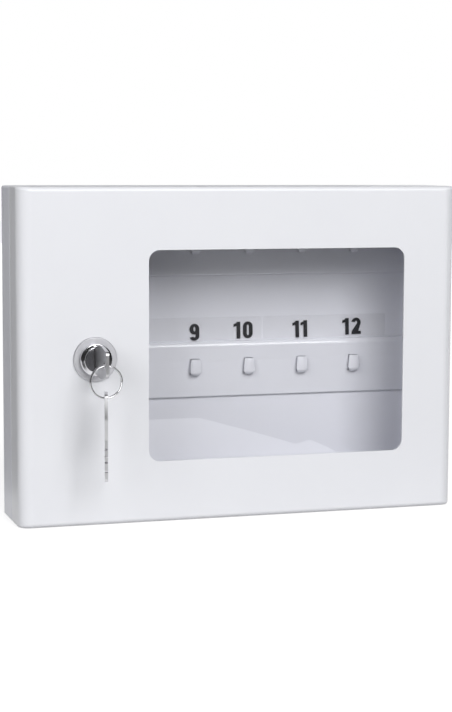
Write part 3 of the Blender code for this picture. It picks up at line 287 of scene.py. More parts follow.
def blank_material(name: str) -> tuple[bpy.types.Material, Wiring, bpy.types.Node]:
    """Makes a material with one Principled shader.

    Args:
        name: The material's name.

    Returns:
        The material, its wiring and its shader node.
    """
    material = bpy.data.materials.new(name)
    material.use_nodes = True
    wiring = Wiring(material.node_tree)
    return material, wiring, material.node_tree.nodes["Principled BSDF"]


def add_tones(wiring: Wiring, shader: bpy.types.Node, colours: tuple[Colour, Colour], scale: float,
              roughness: tuple[float, float]) -> None:
    """Feeds cloudy changes of tone and of roughness to the shader.

    Args:
        wiring: The material's wiring.
        shader: The Principled shader.
        colours: The lighter and the darker tone.
        scale: Scale of the clouds.
        roughness: The roughness at the lighter and at the darker tone.
    """
    mottle = wiring.group(EFFECTS.mottle, Colour=(*colours[0], 1.0), Shade=(*colours[1], 1.0),
                          Scale=scale, Smooth=roughness[0], Rough=roughness[1])
    wiring.feed(shader, Base_Color=mottle.outputs["Colour"], Roughness=mottle.outputs["Roughness"])


def add_relief(wiring: Wiring, shader: bpy.types.Node, marks: bpy.types.Node,
               distance: float) -> None:
    """Feeds a height to the shader's normal through a Bump node.

    Args:
        wiring: The material's wiring.
        shader: The Principled shader.
        marks: A node group with a Height output, about 0 to 1.
        distance: The depth of height 1, in metres.
    """
    bump = wiring.feed(wiring.add("Bump"), Distance=distance, Strength=1.0,
                       Height=marks.outputs["Height"])
    wiring.feed(shader, Normal=bump.outputs["Normal"])


@dataclass(frozen=True)
class Opaque:
    """A finish in two tones that change slowly over the piece, with fine marks as its relief."""

    name: str
    colour: Colour
    shade: Colour
    smooth: float
    rough: float
    grain: Grain = Grain.EVEN
    depth: float = 0.004 * MM
    centre: tuple[float, float, float] = (0.0, 0.0, 0.0)
    metallic: float = 0.0
    cloud_scale: float = 120.0
    even_scale: float = 1400.0
    rolled_stretch: tuple[float, float, float] = (60.0, 1500.0, 1500.0)
    turned_scale: float = 2500.0

    def _marks(self, wiring: Wiring) -> bpy.types.Node:
        """Places the node group for this grain.

        Args:
            wiring: The material's wiring.

        Returns:
            The group's node.
        """
        if self.grain is Grain.TURNED:
            return wiring.group(EFFECTS.turning, Centre=self.centre, Scale=self.turned_scale)
        if self.grain is Grain.ROLLED:
            return wiring.group(EFFECTS.streaks, Stretch=self.rolled_stretch)
        return wiring.group(EFFECTS.peel, Scale=self.even_scale)

    def material(self) -> bpy.types.Material:
        """Builds the material.

        Returns:
            The material.
        """
        material, wiring, shader = blank_material(self.name)
        wiring.feed(shader, Metallic=self.metallic)
        add_tones(wiring, shader, (self.colour, self.shade), self.cloud_scale,
                  (self.smooth, self.rough))
        add_relief(wiring, shader, self._marks(wiring), self.depth)
        return material


@dataclass(frozen=True)
class Paint(Opaque):
    """Baked paint on sheet steel, with a slight gloss and a faint orange peel."""

    smooth: float = 0.30
    rough: float = 0.42
    depth: float = 0.006 * MM
    cloud_scale: float = 14.0
    even_scale: float = 700.0


@dataclass(frozen=True)
class Plastic(Opaque):
    """Opaque moulded plastic or printing ink."""

    smooth: float = 0.4
    rough: float = 0.55
    cloud_scale: float = 250.0
    even_scale: float = 2200.0


@dataclass(frozen=True)
class Metal(Opaque):
    """Bare or plated metal."""

    metallic: float = 1.0


@dataclass(frozen=True)
class ClearPane:
    """A clear acrylic sheet: each face mirrors a small share and lets the rest straight through."""

    name: str
    colour: Colour
    mirrored: float = 0.042
    smear_scale: float = 20.0
    smear: float = 0.03

    def material(self) -> bpy.types.Material:
        """Builds the material, with faint smears in its roughness.

        Returns:
            The material.
        """
        material, wiring, shader = blank_material(self.name)
        wiring.feed(shader, Metallic=1.0, Alpha=self.mirrored)
        add_tones(wiring, shader, (self.colour, self.colour), self.smear_scale, (0.0, self.smear))
        return material


@dataclass(frozen=True)
class ClearFilm:
    """Thin clear film that shows as a faint pale band."""

    name: str
    colour: Colour
    cover: float
    cover_swing: float = 0.2
    cover_scale: float = 60.0
    roughness: float = 0.2
    ripple_scale: float = 150.0
    ripple_depth: float = 0.01 * MM

    def material(self) -> bpy.types.Material:
        """Builds the material; its cover changes a little over the strip.

        Returns:
            The material.
        """
        material, wiring, shader = blank_material(self.name)
        cover = wiring.group(EFFECTS.mottle, Scale=self.cover_scale,
                             Smooth=self.cover * (1.0 - self.cover_swing),
                             Rough=self.cover * (1.0 + self.cover_swing))
        wiring.feed(shader, Base_Color=(*self.colour, 1.0), Alpha=cover.outputs["Roughness"],
                    Roughness=self.roughness)
        ripples = wiring.group(EFFECTS.peel, Scale=self.ripple_scale)
        add_relief(wiring, shader, ripples, self.ripple_depth)
        return material


def arc(centre: Point, radius: float, start: float, end: float, steps: int) -> list[Point]:
    """Points along an arc.

    Args:
        centre: The arc's centre.
        radius: Its radius.
        start: First angle, in degrees.
        end: Last angle, in degrees.
        steps: Number of stretches.

    Returns:
        steps + 1 points.
    """
    angles = (math.radians(start + (end - start) * step / steps) for step in range(steps + 1))
    return [(centre[0] + radius * math.cos(a), centre[1] + radius * math.sin(a)) for a in angles]


def settle(bm: bmesh.types.BMesh) -> bmesh.types.BMesh:
    """Merges doubled vertices and turns all faces outwards.

    Args:
        bm: The mesh.

    Returns:
        The same mesh.
    """
    bmesh.ops.remove_doubles(bm, verts=bm.verts, dist=WELD)
    bmesh.ops.recalc_face_normals(bm, faces=bm.faces)
    return bm


def round_edges(bm: bmesh.types.BMesh, edges: Sequence[bmesh.types.BMEdge], radius: float,
                steps: int) -> None:
    """Rounds some edges of a mesh.

    Args:
        bm: The mesh.
        edges: The edges.
        radius: Their radius.
        steps: Steps of each rounding.
    """
    bmesh.ops.bevel(bm, geom=edges, offset=radius, offset_type="OFFSET", segments=steps,
                    profile=0.5, affect="EDGES", material=-1)


def edges_along_y(bm: bmesh.types.BMesh) -> list[bmesh.types.BMEdge]:
    """The edges of an upright box that run from its front to its back."""
    return [edge for edge in bm.edges if abs(edge.verts[0].co.y - edge.verts[1].co.y) > WELD]


def block(low: Place, high: Place) -> bmesh.types.BMesh:
    """A box between two corners.

    Args:
        low: Lowest corner.
        high: Highest corner.

    Returns:
        The mesh.
    """
    low, high = Vector(low), Vector(high)
    bm = bmesh.new()
    bmesh.ops.create_cube(bm, size=1.0)
    bmesh.ops.scale(bm, vec=high - low, verts=bm.verts)
    bmesh.ops.translate(bm, vec=(low + high) / 2, verts=bm.verts)
    return bm


def rod(start: Place, end: Place, radius: float, steps: int) -> bmesh.types.BMesh:
    """A closed round bar between two points.

    Args:
        start: The middle of its first end.
        end: The middle of its other end.
        radius: Its radius.
        steps: Sides of its section.

    Returns:
        The mesh.
    """
    start, end = Vector(start), Vector(end)
    span = end - start
    bm = bmesh.new()
    bmesh.ops.create_cone(bm, cap_ends=True, segments=steps, radius1=radius, radius2=radius,
                          depth=span.length)
    turn = ALONG_Z.rotation_difference(span).to_matrix()
    bmesh.ops.rotate(bm, matrix=turn, cent=(0.0, 0.0, 0.0), verts=bm.verts)
    bmesh.ops.translate(bm, vec=(start + end) / 2, verts=bm.verts)
    return bm


def drill(middle: Place, start: float, end: float, diameter: float,
          steps: int = 48) -> bmesh.types.BMesh:
    """A round cutter along Y.

    Args:
        middle: A point on its axis.
        start: The Y of its first end.
        end: The Y of its other end.
        diameter: Its diameter.
        steps: Sides of its section.

    Returns:
        The mesh.
    """
    x, _, z = middle
    return rod((x, start, z), (x, end, z), diameter / 2, steps)


def turned(profile: Sequence[Point], centre: Vector, steps: int = 128) -> bmesh.types.BMesh:
    """A ring turned about an axis along Y.

    Args:
        profile: Its section, as points of radius and distance ahead of the centre.
        centre: A point on the axis.
        steps: Steps of the full turn.

    Returns:
        The mesh, closed.
    """
    bm = bmesh.new()
    chain = [bm.verts.new(centre + Vector((radius, -ahead, 0.0))) for radius, ahead in profile]
    edges = [bm.edges.new(pair) for pair in zip(chain, chain[1:])]
    edges.append(bm.edges.new((chain[-1], chain[0])))
    bmesh.ops.spin(bm, geom=chain + edges, cent=centre, axis=ALONG_Y, angle=math.tau, steps=steps,
                   use_merge=True)
    return settle(bm)


def swept(columns: Sequence[Sequence[Vector]], closed: bool = False) -> bmesh.types.BMesh:
    """A skin drawn through a row of outlines.

    Args:
        columns: The outlines, each with the same number of points.
        closed: Whether each outline is a loop; the two ends are then capped unless they meet.

    Returns:
        The mesh.
    """
    bm = bmesh.new()
    first = [bm.verts.new(point) for point in columns[0]]
    pairs = list(zip(first, first[1:])) + ([(first[-1], first[0])] if closed else [])
    edges = [bm.edges.new(pair) for pair in pairs]
    column = first
    for points in columns[1:]:
        grown = bmesh.ops.extrude_edge_only(bm, edges=edges)["geom"]
        edges = [item for item in grown if isinstance(item, bmesh.types.BMEdge)]
        by_place = {tuple(vert.co): vert for edge in edges for vert in edge.verts}
        column = [by_place[tuple(vert.co)] for vert in column]
        for vert, point in zip(column, points):
            vert.co = point
    if closed and (column[0].co - first[0].co).length > WELD:
        bm.faces.new(first)
        bm.faces.new(column)
    return settle(bm)


def as_object(name: str, bm: bmesh.types.BMesh) -> bpy.types.Object:
    """Turns a mesh in the making into an object at the origin.

    Args:
        name: The object's name.
        bm: The mesh, which is freed.

    Returns:
        The object.
    """
    mesh = bpy.data.meshes.new(name)
    bm.to_mesh(mesh)
    bm.free()
    thing = bpy.data.objects.new(name, mesh)
    bpy.context.scene.collection.objects.link(thing)
    return thing


def freeze(thing: bpy.types.Object) -> None:
    """Applies all modifiers of an object.

    Args:
        thing: The object.
    """
    graph = bpy.context.evaluated_depsgraph_get()
    mesh = bpy.data.meshes.new_from_object(thing.evaluated_get(graph))
    old = thing.data
    thing.modifiers.clear()
    thing.data = mesh
    bpy.data.meshes.remove(old)


def carve(thing: bpy.types.Object, cutters: Iterable[bmesh.types.BMesh],
          operation: str = "DIFFERENCE", sliver: float = SLIVER) -> None:
    """Cuts closed shapes out of an object, or joins them to it, for good.

    Args:
        thing: The object.
        cutters: Closed meshes, which are freed.
        operation: The Boolean's operation.
        sliver: Edges shorter than this are merged afterwards.
    """
    helpers = []
    for number, bm in enumerate(cutters):
        helper = as_object(f"helper_{number}", bm)
        modifier = thing.modifiers.new(helper.name, "BOOLEAN")
        modifier.object = helper
        modifier.operation = operation
        modifier.solver = "EXACT"
        helpers.append(helper)
    bpy.context.view_layer.update()
    freeze(thing)
    for helper in helpers:
        bpy.data.objects.remove(helper, do_unlink=True)
    drop_slivers(thing, sliver)


def drop_slivers(thing: bpy.types.Object, sliver: float) -> None:
    """Merges the tiny edges and level facets that a Boolean leaves.

    Args:
        thing: The object.
        sliver: Edges shorter than this are merged.
    """
    bm = bmesh.new()
    bm.from_mesh(thing.data)
    bmesh.ops.remove_doubles(bm, verts=bm.verts, dist=sliver)
    bmesh.ops.dissolve_degenerate(bm, dist=sliver, edges=bm.edges)
    bmesh.ops.dissolve_limit(bm, angle_limit=LEVEL_BOOLEAN, verts=bm.verts, edges=bm.edges)
    bm.to_mesh(thing.data)
    bm.free()


def wall(thing: bpy.types.Object, thickness: float) -> None:
    """Gives an open skin its sheet thickness, inwards, for good.

    Args:
        thing: The skin.
        thickness: The sheet's thickness.
    """
    modifier = thing.modifiers.new("sheet", "SOLIDIFY")
    modifier.thickness = thickness
    modifier.offset = -1.0
    modifier.use_even_offset = True
    modifier.use_rim = True
    freeze(thing)


def soften(thing: bpy.types.Object, radius: float = 0.0, steps: int = 2) -> None:
    """Rounds the sharp edges of a piece and evens out its shading.

    Args:
        thing: The piece.
        radius: Radius of the edges; zero leaves them as they are.
        steps: Steps of each rounding.
    """
    if radius:
        bevel = thing.modifiers.new("edges", "BEVEL")
        bevel.width = radius
        bevel.segments = steps
        bevel.limit_method = "ANGLE"
        bevel.angle_limit = ROUNDED_EDGE
        bevel.use_clamp_overlap = True
        bevel.harden_normals = False
    thing.data.shade_smooth()
    thing.data.set_sharp_from_angle(angle=SHARP_IF_ROUNDED if radius else SHARP_IF_PLAIN)
    even = thing.modifiers.new("shading", "WEIGHTED_NORMAL")
    even.keep_sharp = True


def dress(thing: bpy.types.Object, material: bpy.types.Material, body: str,
          nodes: Sequence[str] = ()) -> None:
    """Gives a finished piece its material and its body.

    Args:
        thing: The piece.
        material: Its material.
        body: The body it moves with.
        nodes: The nodes of the frame that it stands for.
    """
    thing.data.materials.clear()
    thing.data.materials.append(material)
    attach(thing, body)
    if nodes:
        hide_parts(*nodes)
    log.info("%s rides on %s, %d faces", thing.name, body, len(thing.data.polygons))


def middle_of(node: str) -> Vector:
    """The middle of a node's box."""
    return sum(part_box(node), Vector()) / 2


@dataclass(frozen=True)
class Dressing:
    """What a softened copy of a node is made of, and the body that it moves with."""

    material: bpy.types.Material
    body: str
    slot: str
    radius: float
    steps: int = 2

    def put_on(self, node: str, name: str) -> None:
        """Copies a node as clean faces, softens it and dresses it.

        Args:
            node: The node.
            name: The new piece's name.
        """
        piece = clean_copy(node, name)
        soften(piece, self.radius, self.steps)
        dress(piece, self.material, self.body, [node])


def clean_copy(node: str, name: str) -> bpy.types.Object:
    """Copies a node of the frame as clean faces.

    Args:
        node: The node.
        name: The new piece's name.

    Returns:
        The new object, not yet dressed.
    """
    bm = bmesh.new()
    bm.from_mesh(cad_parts[node].data)
    bmesh.ops.remove_doubles(bm, verts=bm.verts, dist=WELD)
    bmesh.ops.dissolve_limit(bm, angle_limit=LEVEL_NODE, verts=bm.verts, edges=bm.edges)
    return as_object(name, bm)


@dataclass
class Finishes:
    """All finishes of the cabinet."""

    lock_centre: Vector

    def __post_init__(self) -> None:
        """Builds every material once."""
        centre = tuple(self.lock_centre)
        self.paint = Paint("cabinet_paint", from_screen(234, 235, 239),
                           from_screen(229, 230, 235)).material()
        self.tray_paint = Paint("tray_paint", from_screen(235, 236, 244),
                                from_screen(230, 231, 239)).material()
        self.inner_paint = Paint("inner_paint", from_screen(234, 235, 242),
                                 from_screen(229, 230, 238), 0.12, 0.20).material()
        self.pane = ClearPane("clear_acrylic", (0.985, 0.99, 0.995)).material()
        self.film = ClearFilm("number_film", from_screen(246, 246, 250), 0.04).material()
        self.ink = Plastic("black_ink", from_screen(22, 22, 28), from_screen(32, 32, 38)).material()
        self.satin = Metal("satin_plate", from_screen(205, 205, 209), from_screen(196, 196, 201),
                           0.48, 0.58, Grain.TURNED, 0.003 * MM, centre).material()
        self.chrome = Metal("lock_chrome", from_screen(214, 214, 217), from_screen(200, 200, 204),
                            0.06, 0.16, Grain.TURNED, 0.001 * MM, centre).material()
        # The plug's plating is the head's chrome painted darker: a painted dark reflection in the plug's
        # face.
        self.dark_chrome = Metal("plug_chrome_painted_dark", from_screen(178, 178, 182), from_screen(138, 138, 143),
                                 0.12, 0.30, Grain.TURNED, 0.004 * MM, centre).material()
        self.zinc = Metal("zinc_plate", from_screen(190, 192, 196), from_screen(168, 170, 174),
                          0.28, 0.48, Grain.ROLLED).material()
        self.nickel = Metal("key_nickel", from_screen(206, 206, 208), from_screen(188, 188, 191),
                            0.26, 0.42, Grain.ROLLED, 0.002 * MM).material()
        self.wire = Metal("ring_nickel", from_screen(206, 206, 208), from_screen(188, 188, 191),
                          0.10, 0.24, depth=0.001 * MM).material()
        self.brass = Metal("wafer_brass", from_screen(214, 186, 122), from_screen(186, 152, 92),
                           0.20, 0.40, Grain.ROLLED).material()
        self.nylon = Plastic("washer_nylon", from_screen(228, 228, 222),
                             from_screen(214, 214, 208)).material()


@dataclass
class Casing:
    """The folded tray behind the door, with its lip."""

    finishes: Finishes
    sheet: float = 1.0 * MM
    bend: float = 1.8 * MM
    bend_steps: int = 8
    lip: float = 12.0 * MM
    screw_hole: float = 5.5 * MM
    screw_inset: float = 20.0 * MM
    rivet_hole: float = 3.6 * MM
    overrun: float = 3.0 * MM
    edge_radius: float = 0.2 * MM
    rivet_edge_radius: float = 0.15 * MM
    rail_rivets: tuple[str, ...] = ("rail_rivet_lower_left", "rail_rivet_lower_right",
                                    "rail_rivet_upper_left", "rail_rivet_upper_right")
    bracket_rivets: tuple[str, ...] = ("bracket_rivet_lower_1", "bracket_rivet_lower_2",
                                       "bracket_rivet_upper_1", "bracket_rivet_upper_2")

    def _skin(self, low: Vector, high: Vector) -> bmesh.types.BMesh:
        """The tray's outer skin: five faces and the lip.

        Args:
            low: Lowest corner of the casing.
            high: Highest corner of the casing.

        Returns:
            The skin.
        """
        bm = block(low, high)
        folds = bm.edges[:]
        front = [face for face in bm.faces if face.normal.y < -0.5]
        bmesh.ops.inset_region(bm, faces=front, thickness=self.lip, use_even_offset=True)
        bmesh.ops.delete(bm, geom=front, context="FACES_ONLY")
        round_edges(bm, folds, self.bend, self.bend_steps)
        return bm

    def _holes(self, low: Vector, high: Vector) -> list[bmesh.types.BMesh]:
        """Cutters for the wall screws and for the rivets.

        Args:
            low: Lowest corner of the casing.
            high: Highest corner of the casing.

        Returns:
            The cutters.
        """
        back = high.y - self.sheet - self.overrun, high.y + self.overrun
        lip = low.y - self.overrun, low.y + self.sheet + self.overrun
        screws = [(x, 0.0, z) for x in (low.x + self.screw_inset, high.x - self.screw_inset)
                  for z in (low.z + self.screw_inset, high.z - self.screw_inset)]
        cutters = [drill(place, *back, self.screw_hole) for place in screws]
        cutters += [drill(middle_of(name), *back, self.rivet_hole) for name in self.rail_rivets]
        cutters += [drill(middle_of(name), *lip, self.rivet_hole) for name in self.bracket_rivets]
        return cutters

    def build(self) -> None:
        """Makes the tray and dresses the rivets."""
        low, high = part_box("rear_casing")
        tray = as_object("casing_tray", self._skin(low, high))
        wall(tray, self.sheet)
        carve(tray, self._holes(low, high))
        soften(tray, self.edge_radius)
        dress(tray, self.finishes.tray_paint, "casing", ["rear_casing"])
        zinc = Dressing(self.finishes.zinc, "casing", "zinc_hardware", self.rivet_edge_radius)
        for name in self.rail_rivets + self.bracket_rivets:
            zinc.put_on(name, name.replace("rivet", "rivet_head"))


@dataclass
class HookRails:
    """Two slanting plates with a folded top and pressed-out hooks, riveted to the tray's back."""

    finishes: Finishes
    names: tuple[str, ...] = ("hook_rail_lower", "hook_rail_upper")
    sheet: float = 1.0 * MM
    top_standoff: float = 5.5 * MM
    toe_standoff: float = 1.9 * MM
    bend: float = 4.5 * MM
    bend_steps: int = 10
    hem: float = 1.2 * MM
    hem_steps: int = 3
    foot_length: float = 11.0 * MM
    foot_height: float = 24.0 * MM
    rivet_hole: float = 3.6 * MM
    hooks: int = 6
    hook_pitch: float = 42.1 * MM
    hook_rise: float = 16.2 * MM
    hook_height: float = 12.9 * MM
    hook_reach: float = 4.6 * MM
    hook_bend: float = 4.0 * MM
    hook_lean: float = 1.0 * MM
    hook_crown: float = 1.1 * MM
    swell_power: float = 1.6
    root_half: float = 1.2 * MM
    belly_half: float = 4.3 * MM
    tip_half: float = 3.5 * MM
    hook_bend_steps: int = 9
    hook_face_steps: int = 8
    blade_shares: tuple[float, ...] = (0.35, 0.7, 1.0)
    slot_above: float = 0.2 * MM
    overrun: float = 3.0 * MM
    hole_steps: int = 32
    edge_radius: float = 0.42 * MM
    edge_steps: int = 3

    def _face(self, rise: float, rear: float) -> float:
        """The slanting front.

        Args:
            rise: Height above the rail's lower edge.
            rear: The Y of the rail's rear.

        Returns:
            The front's Y at that height.
        """
        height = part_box(self.names[0])[1].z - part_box(self.names[0])[0].z
        slope = (self.top_standoff - self.toe_standoff) / height
        return rear - self.toe_standoff - slope * rise

    def _skin(self, low: Vector, high: Vector) -> bmesh.types.BMesh:
        """The outer skin: front, top fold and two end folds.

        Args:
            low: Lowest corner of the rail.
            high: Highest corner of the rail.

        Returns:
            The skin.
        """
        half, height = high.x - self.foot_length, high.z - low.z
        toe, top = self._face(0.0, high.y), self._face(height, high.y)
        middle = Vector((0.0, (top + high.y) / 2, (low.z + high.z) / 2))
        bm = block((-half, top, low.z), (half, high.y, high.z))
        open_sides = [face for face in bm.faces if face.normal.y > 0.5 or face.normal.z < -0.5]
        bmesh.ops.delete(bm, geom=open_sides, context="FACES_ONLY")
        toes = [vert for vert in bm.verts if vert.co.z < middle.z and vert.co.y < middle.y]
        bmesh.ops.translate(bm, vec=(0.0, toe - top, 0.0), verts=toes)
        folds = [edge for edge in bm.edges if len(edge.link_faces) == 2
                 and min(vert.co.z for vert in edge.verts) > middle.z]
        round_edges(bm, folds, self.bend, self.bend_steps)
        self._hem(bm, toe, low.z)
        return bm

    def _hem(self, bm: bmesh.types.BMesh, toe: float, base: float) -> None:
        """Curls the front's lower edge back towards the wall.

        Args:
            bm: The rail's skin.
            toe: The Y of the front's lower edge.
            base: The Z of the front's lower edge.
        """
        edge = next(edge for edge in bm.edges
                    if all(abs(vert.co.y - toe) + abs(vert.co.z - base) < WELD for vert in edge.verts))
        bmesh.ops.translate(bm, vec=ALONG_Z * self.hem, verts=list(edge.verts))
        centre = (toe + self.hem, base + self.hem)
        for y, z in arc(centre, self.hem, 180.0, 270.0, self.hem_steps)[1:]:
            grown = bmesh.ops.extrude_edge_only(bm, edges=[edge])["geom"]
            edge = next(item for item in grown if isinstance(item, bmesh.types.BMEdge))
            for vert in edge.verts:
                vert.co.y, vert.co.z = y, z

    def _hook(self, x: float, low: Vector, rear: float) -> bmesh.types.BMesh:
        """One pressed-out hook: narrow at its root, full at its belly, and leaning back above.

        Args:
            x: The hook's place along the rail.
            low: Lowest corner of the rail.
            rear: The Y of the rail's rear.

        Returns:
            The hook.
        """
        start = low.z + self.hook_rise
        outer = self._face(self.hook_rise + self.hook_height / 2, rear) - self.hook_reach
        root = self._face(self.hook_rise, rear) + self.sheet / 2
        top = start + self.hook_height
        centre = (outer + self.hook_bend, start + self.hook_bend)
        sections = [((root, start), (root, start + self.sheet), self.root_half, 0.0)]
        outside = arc(centre, self.hook_bend, -90.0, -180.0, self.hook_bend_steps)
        inside = arc(centre, self.hook_bend - self.sheet, -90.0, -180.0, self.hook_bend_steps)
        for step, (front, back) in enumerate(zip(outside, inside)):
            swell = math.sin(step / self.hook_bend_steps * math.pi / 2) ** self.swell_power
            half = self.root_half + (self.belly_half - self.root_half) * swell
            sections.append((front, back, half, self.hook_crown * swell))
        for share in self.blade_shares:
            z = centre[1] + (top - centre[1]) * share
            half = self.belly_half + (self.tip_half - self.belly_half) * share
            y = outer + self.hook_lean * share ** 2
            sections.append(((y, z), (y + self.sheet, z), half, self.hook_crown * (1.0 - share / 2)))
        columns = []
        shares = [2 * step / self.hook_face_steps - 1.0 for step in range(self.hook_face_steps + 1)]
        for front, back, half, crown in sections:
            column = [Vector((x + half * s, front[0] + crown * s * s, front[1])) for s in shares]
            column += [Vector((x + half * s, back[0] + crown * s * s, back[1])) for s in shares[::-1]]
            columns.append(column)
        return swept(columns, closed=True)

    def _rail(self, name: str) -> None:
        """Makes one rail in place of its node.

        Args:
            name: The node.
        """
        low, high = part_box(name)
        rail = as_object(name.replace("hook_rail", "rail_with_hooks"), self._skin(low, high))
        wall(rail, self.sheet)
        places = [(index - (self.hooks - 1) / 2) * self.hook_pitch for index in range(self.hooks)]
        slot_low, slot_high = self.hook_rise + self.sheet, self.hook_rise + self.hook_height
        cuts = [block((x - self.tip_half, self._face(slot_high, high.y) - self.overrun,
                       low.z + slot_low),
                      (x + self.tip_half, high.y, low.z + slot_high + self.slot_above))
                for x in places]
        carve(rail, cuts)
        carve(rail, [self._hook(x, low, high.y) for x in places], "UNION")
        half, middle = high.x - self.foot_length, (low.z + high.z) / 2
        for side in (-1, 1):
            inner, outer = side * (half - self.sheet / 2), side * high.x
            foot = block((min(inner, outer), high.y - self.sheet, middle - self.foot_height / 2),
                         (max(inner, outer), high.y, middle + self.foot_height / 2))
            carve(rail, [foot], "UNION")
            x = side * (half + self.foot_length / 2)
            carve(rail, [drill((x, 0.0, middle), high.y - self.overrun, high.y + self.overrun,
                               self.rivet_hole, self.hole_steps)])
        soften(rail, self.edge_radius, self.edge_steps)
        dress(rail, self.finishes.inner_paint, "casing", [name])

    def build(self) -> None:
        """Makes both rails."""
        for name in self.names:
            self._rail(name)


Station = tuple[Point, Point]


@dataclass(frozen=True)
class DigitPen:
    """Draws heavy, narrow digits as strokes with an outer and an inner edge.

    All its places and sizes are shares of a digit's height, from its lower left corner.
    """

    width: float = 0.60
    stem: float = 0.235
    bar: float = 0.185
    one_width: float = 0.42
    gap: float = 0.17
    gap_before_one: float = 0.10
    bowl_step: float = 12.0

    def _bowl(self, middle: float, half: float, start: float, end: float) -> list[Station]:
        """Part of an upright ring.

        Args:
            middle: Height of its centre.
            half: Half its height.
            start: First angle, in degrees.
            end: Last angle, in degrees.

        Returns:
            The stations of the stroke.
        """
        steps = max(2, round(abs(end - start) / self.bowl_step))
        angles = [math.radians(start + (end - start) * step / steps) for step in range(steps + 1)]
        centre = self.width / 2
        return [((centre + centre * math.cos(a), middle + half * math.sin(a)),
                 (centre + (centre - self.stem) * math.cos(a), middle + (half - self.bar) * math.sin(a)))
                for a in angles]

    def _level(self, left: float, right: float, low: float) -> list[Station]:
        """A level bar."""
        return [((left, low + self.bar), (left, low)), ((right, low + self.bar), (right, low))]

    def _upright(self, left: float, low: float, high: float) -> list[Station]:
        """An upright stem."""
        return [((left, low), (left + self.stem, low)), ((left, high), (left + self.stem, high))]

    def strokes(self, digit: str) -> list[list[Station]]:
        """The strokes of one digit.

        Args:
            digit: The digit.

        Returns:
            The strokes, each as its stations.
        """
        w, s, b = self.width, self.stem, self.bar
        if digit == "0":
            ring = self._bowl(0.72, 0.28, 0.0, 180.0) + self._bowl(0.28, 0.28, 180.0, 360.0)
            return [ring + ring[:1]]
        if digit == "1":
            left = self.one_width - s
            return [self._upright(left, 0.0, 1.0),
                    [((0.0, 0.86), (0.0, 0.70)), ((left + s / 2, 1.0), (left + s / 2, 0.80))]]
        if digit == "2":
            hook = self._bowl(0.70, 0.30, 168.0, -30.0)
            return [hook + [((0.30 + s * 0.6, b), (0.0, b))], self._level(0.0, w, 0.0)]
        if digit == "3":
            return [self._bowl(0.735, 0.265, 165.0, -90.0), self._bowl(0.28, 0.28, 90.0, -165.0),
                    self._level(w * 0.40, w * 0.55, 0.47)]
        if digit == "4":
            return [self._upright(w - s * 1.35, 0.0, 1.0), self._level(0.0, w + 0.03, 0.20),
                    [((w - s * 1.35, 1.0), (w - s * 0.8, 1.0)), ((0.0, 0.20), (s * 0.95, 0.20))]]
        if digit == "5":
            return [self._level(0.04, w - 0.02, 1.0 - b), self._upright(0.04, 0.44, 1.0),
                    self._bowl(0.32, 0.32, 140.0, -165.0)]
        if digit == "6":
            ring = self._bowl(0.32, 0.32, 0.0, 360.0)
            tail = self._bowl(0.32, 0.32, 180.0, 179.0) + self._bowl(0.74, 0.26, 180.0, 15.0)
            return [ring, tail]
        if digit == "7":
            leg = [((w - s, 1.0 - b / 2), (w, 1.0 - b / 2)),
                   ((0.30 - s / 2, 0.40), (0.30 + s / 2, 0.40)),
                   ((0.12, 0.0), (0.12 + s, 0.0))]
            return [self._level(0.0, w, 1.0 - b), leg]
        if digit == "8":
            return [self._bowl(0.745, 0.255, 0.0, 360.0), self._bowl(0.285, 0.285, 0.0, 360.0)]
        ring = self._bowl(0.68, 0.32, 0.0, 360.0)
        return [ring, self._bowl(0.68, 0.32, 0.0, -1.0) + self._bowl(0.26, 0.26, 0.0, -165.0)]

    def number(self, text: str) -> tuple[list[list[Station]], float]:
        """The strokes of all digits of a number, side by side.

        Args:
            text: The number.

        Returns:
            The strokes and the number's width.
        """
        made, x = [], 0.0
        for index, digit in enumerate(text):
            if index:
                x += self.gap_before_one if digit == "1" else self.gap
            made += [[((a[0] + x, a[1]), (c[0] + x, c[1])) for a, c in stroke]
                     for stroke in self.strokes(digit)]
            x += self.one_width if digit == "1" else self.width
        return made, x


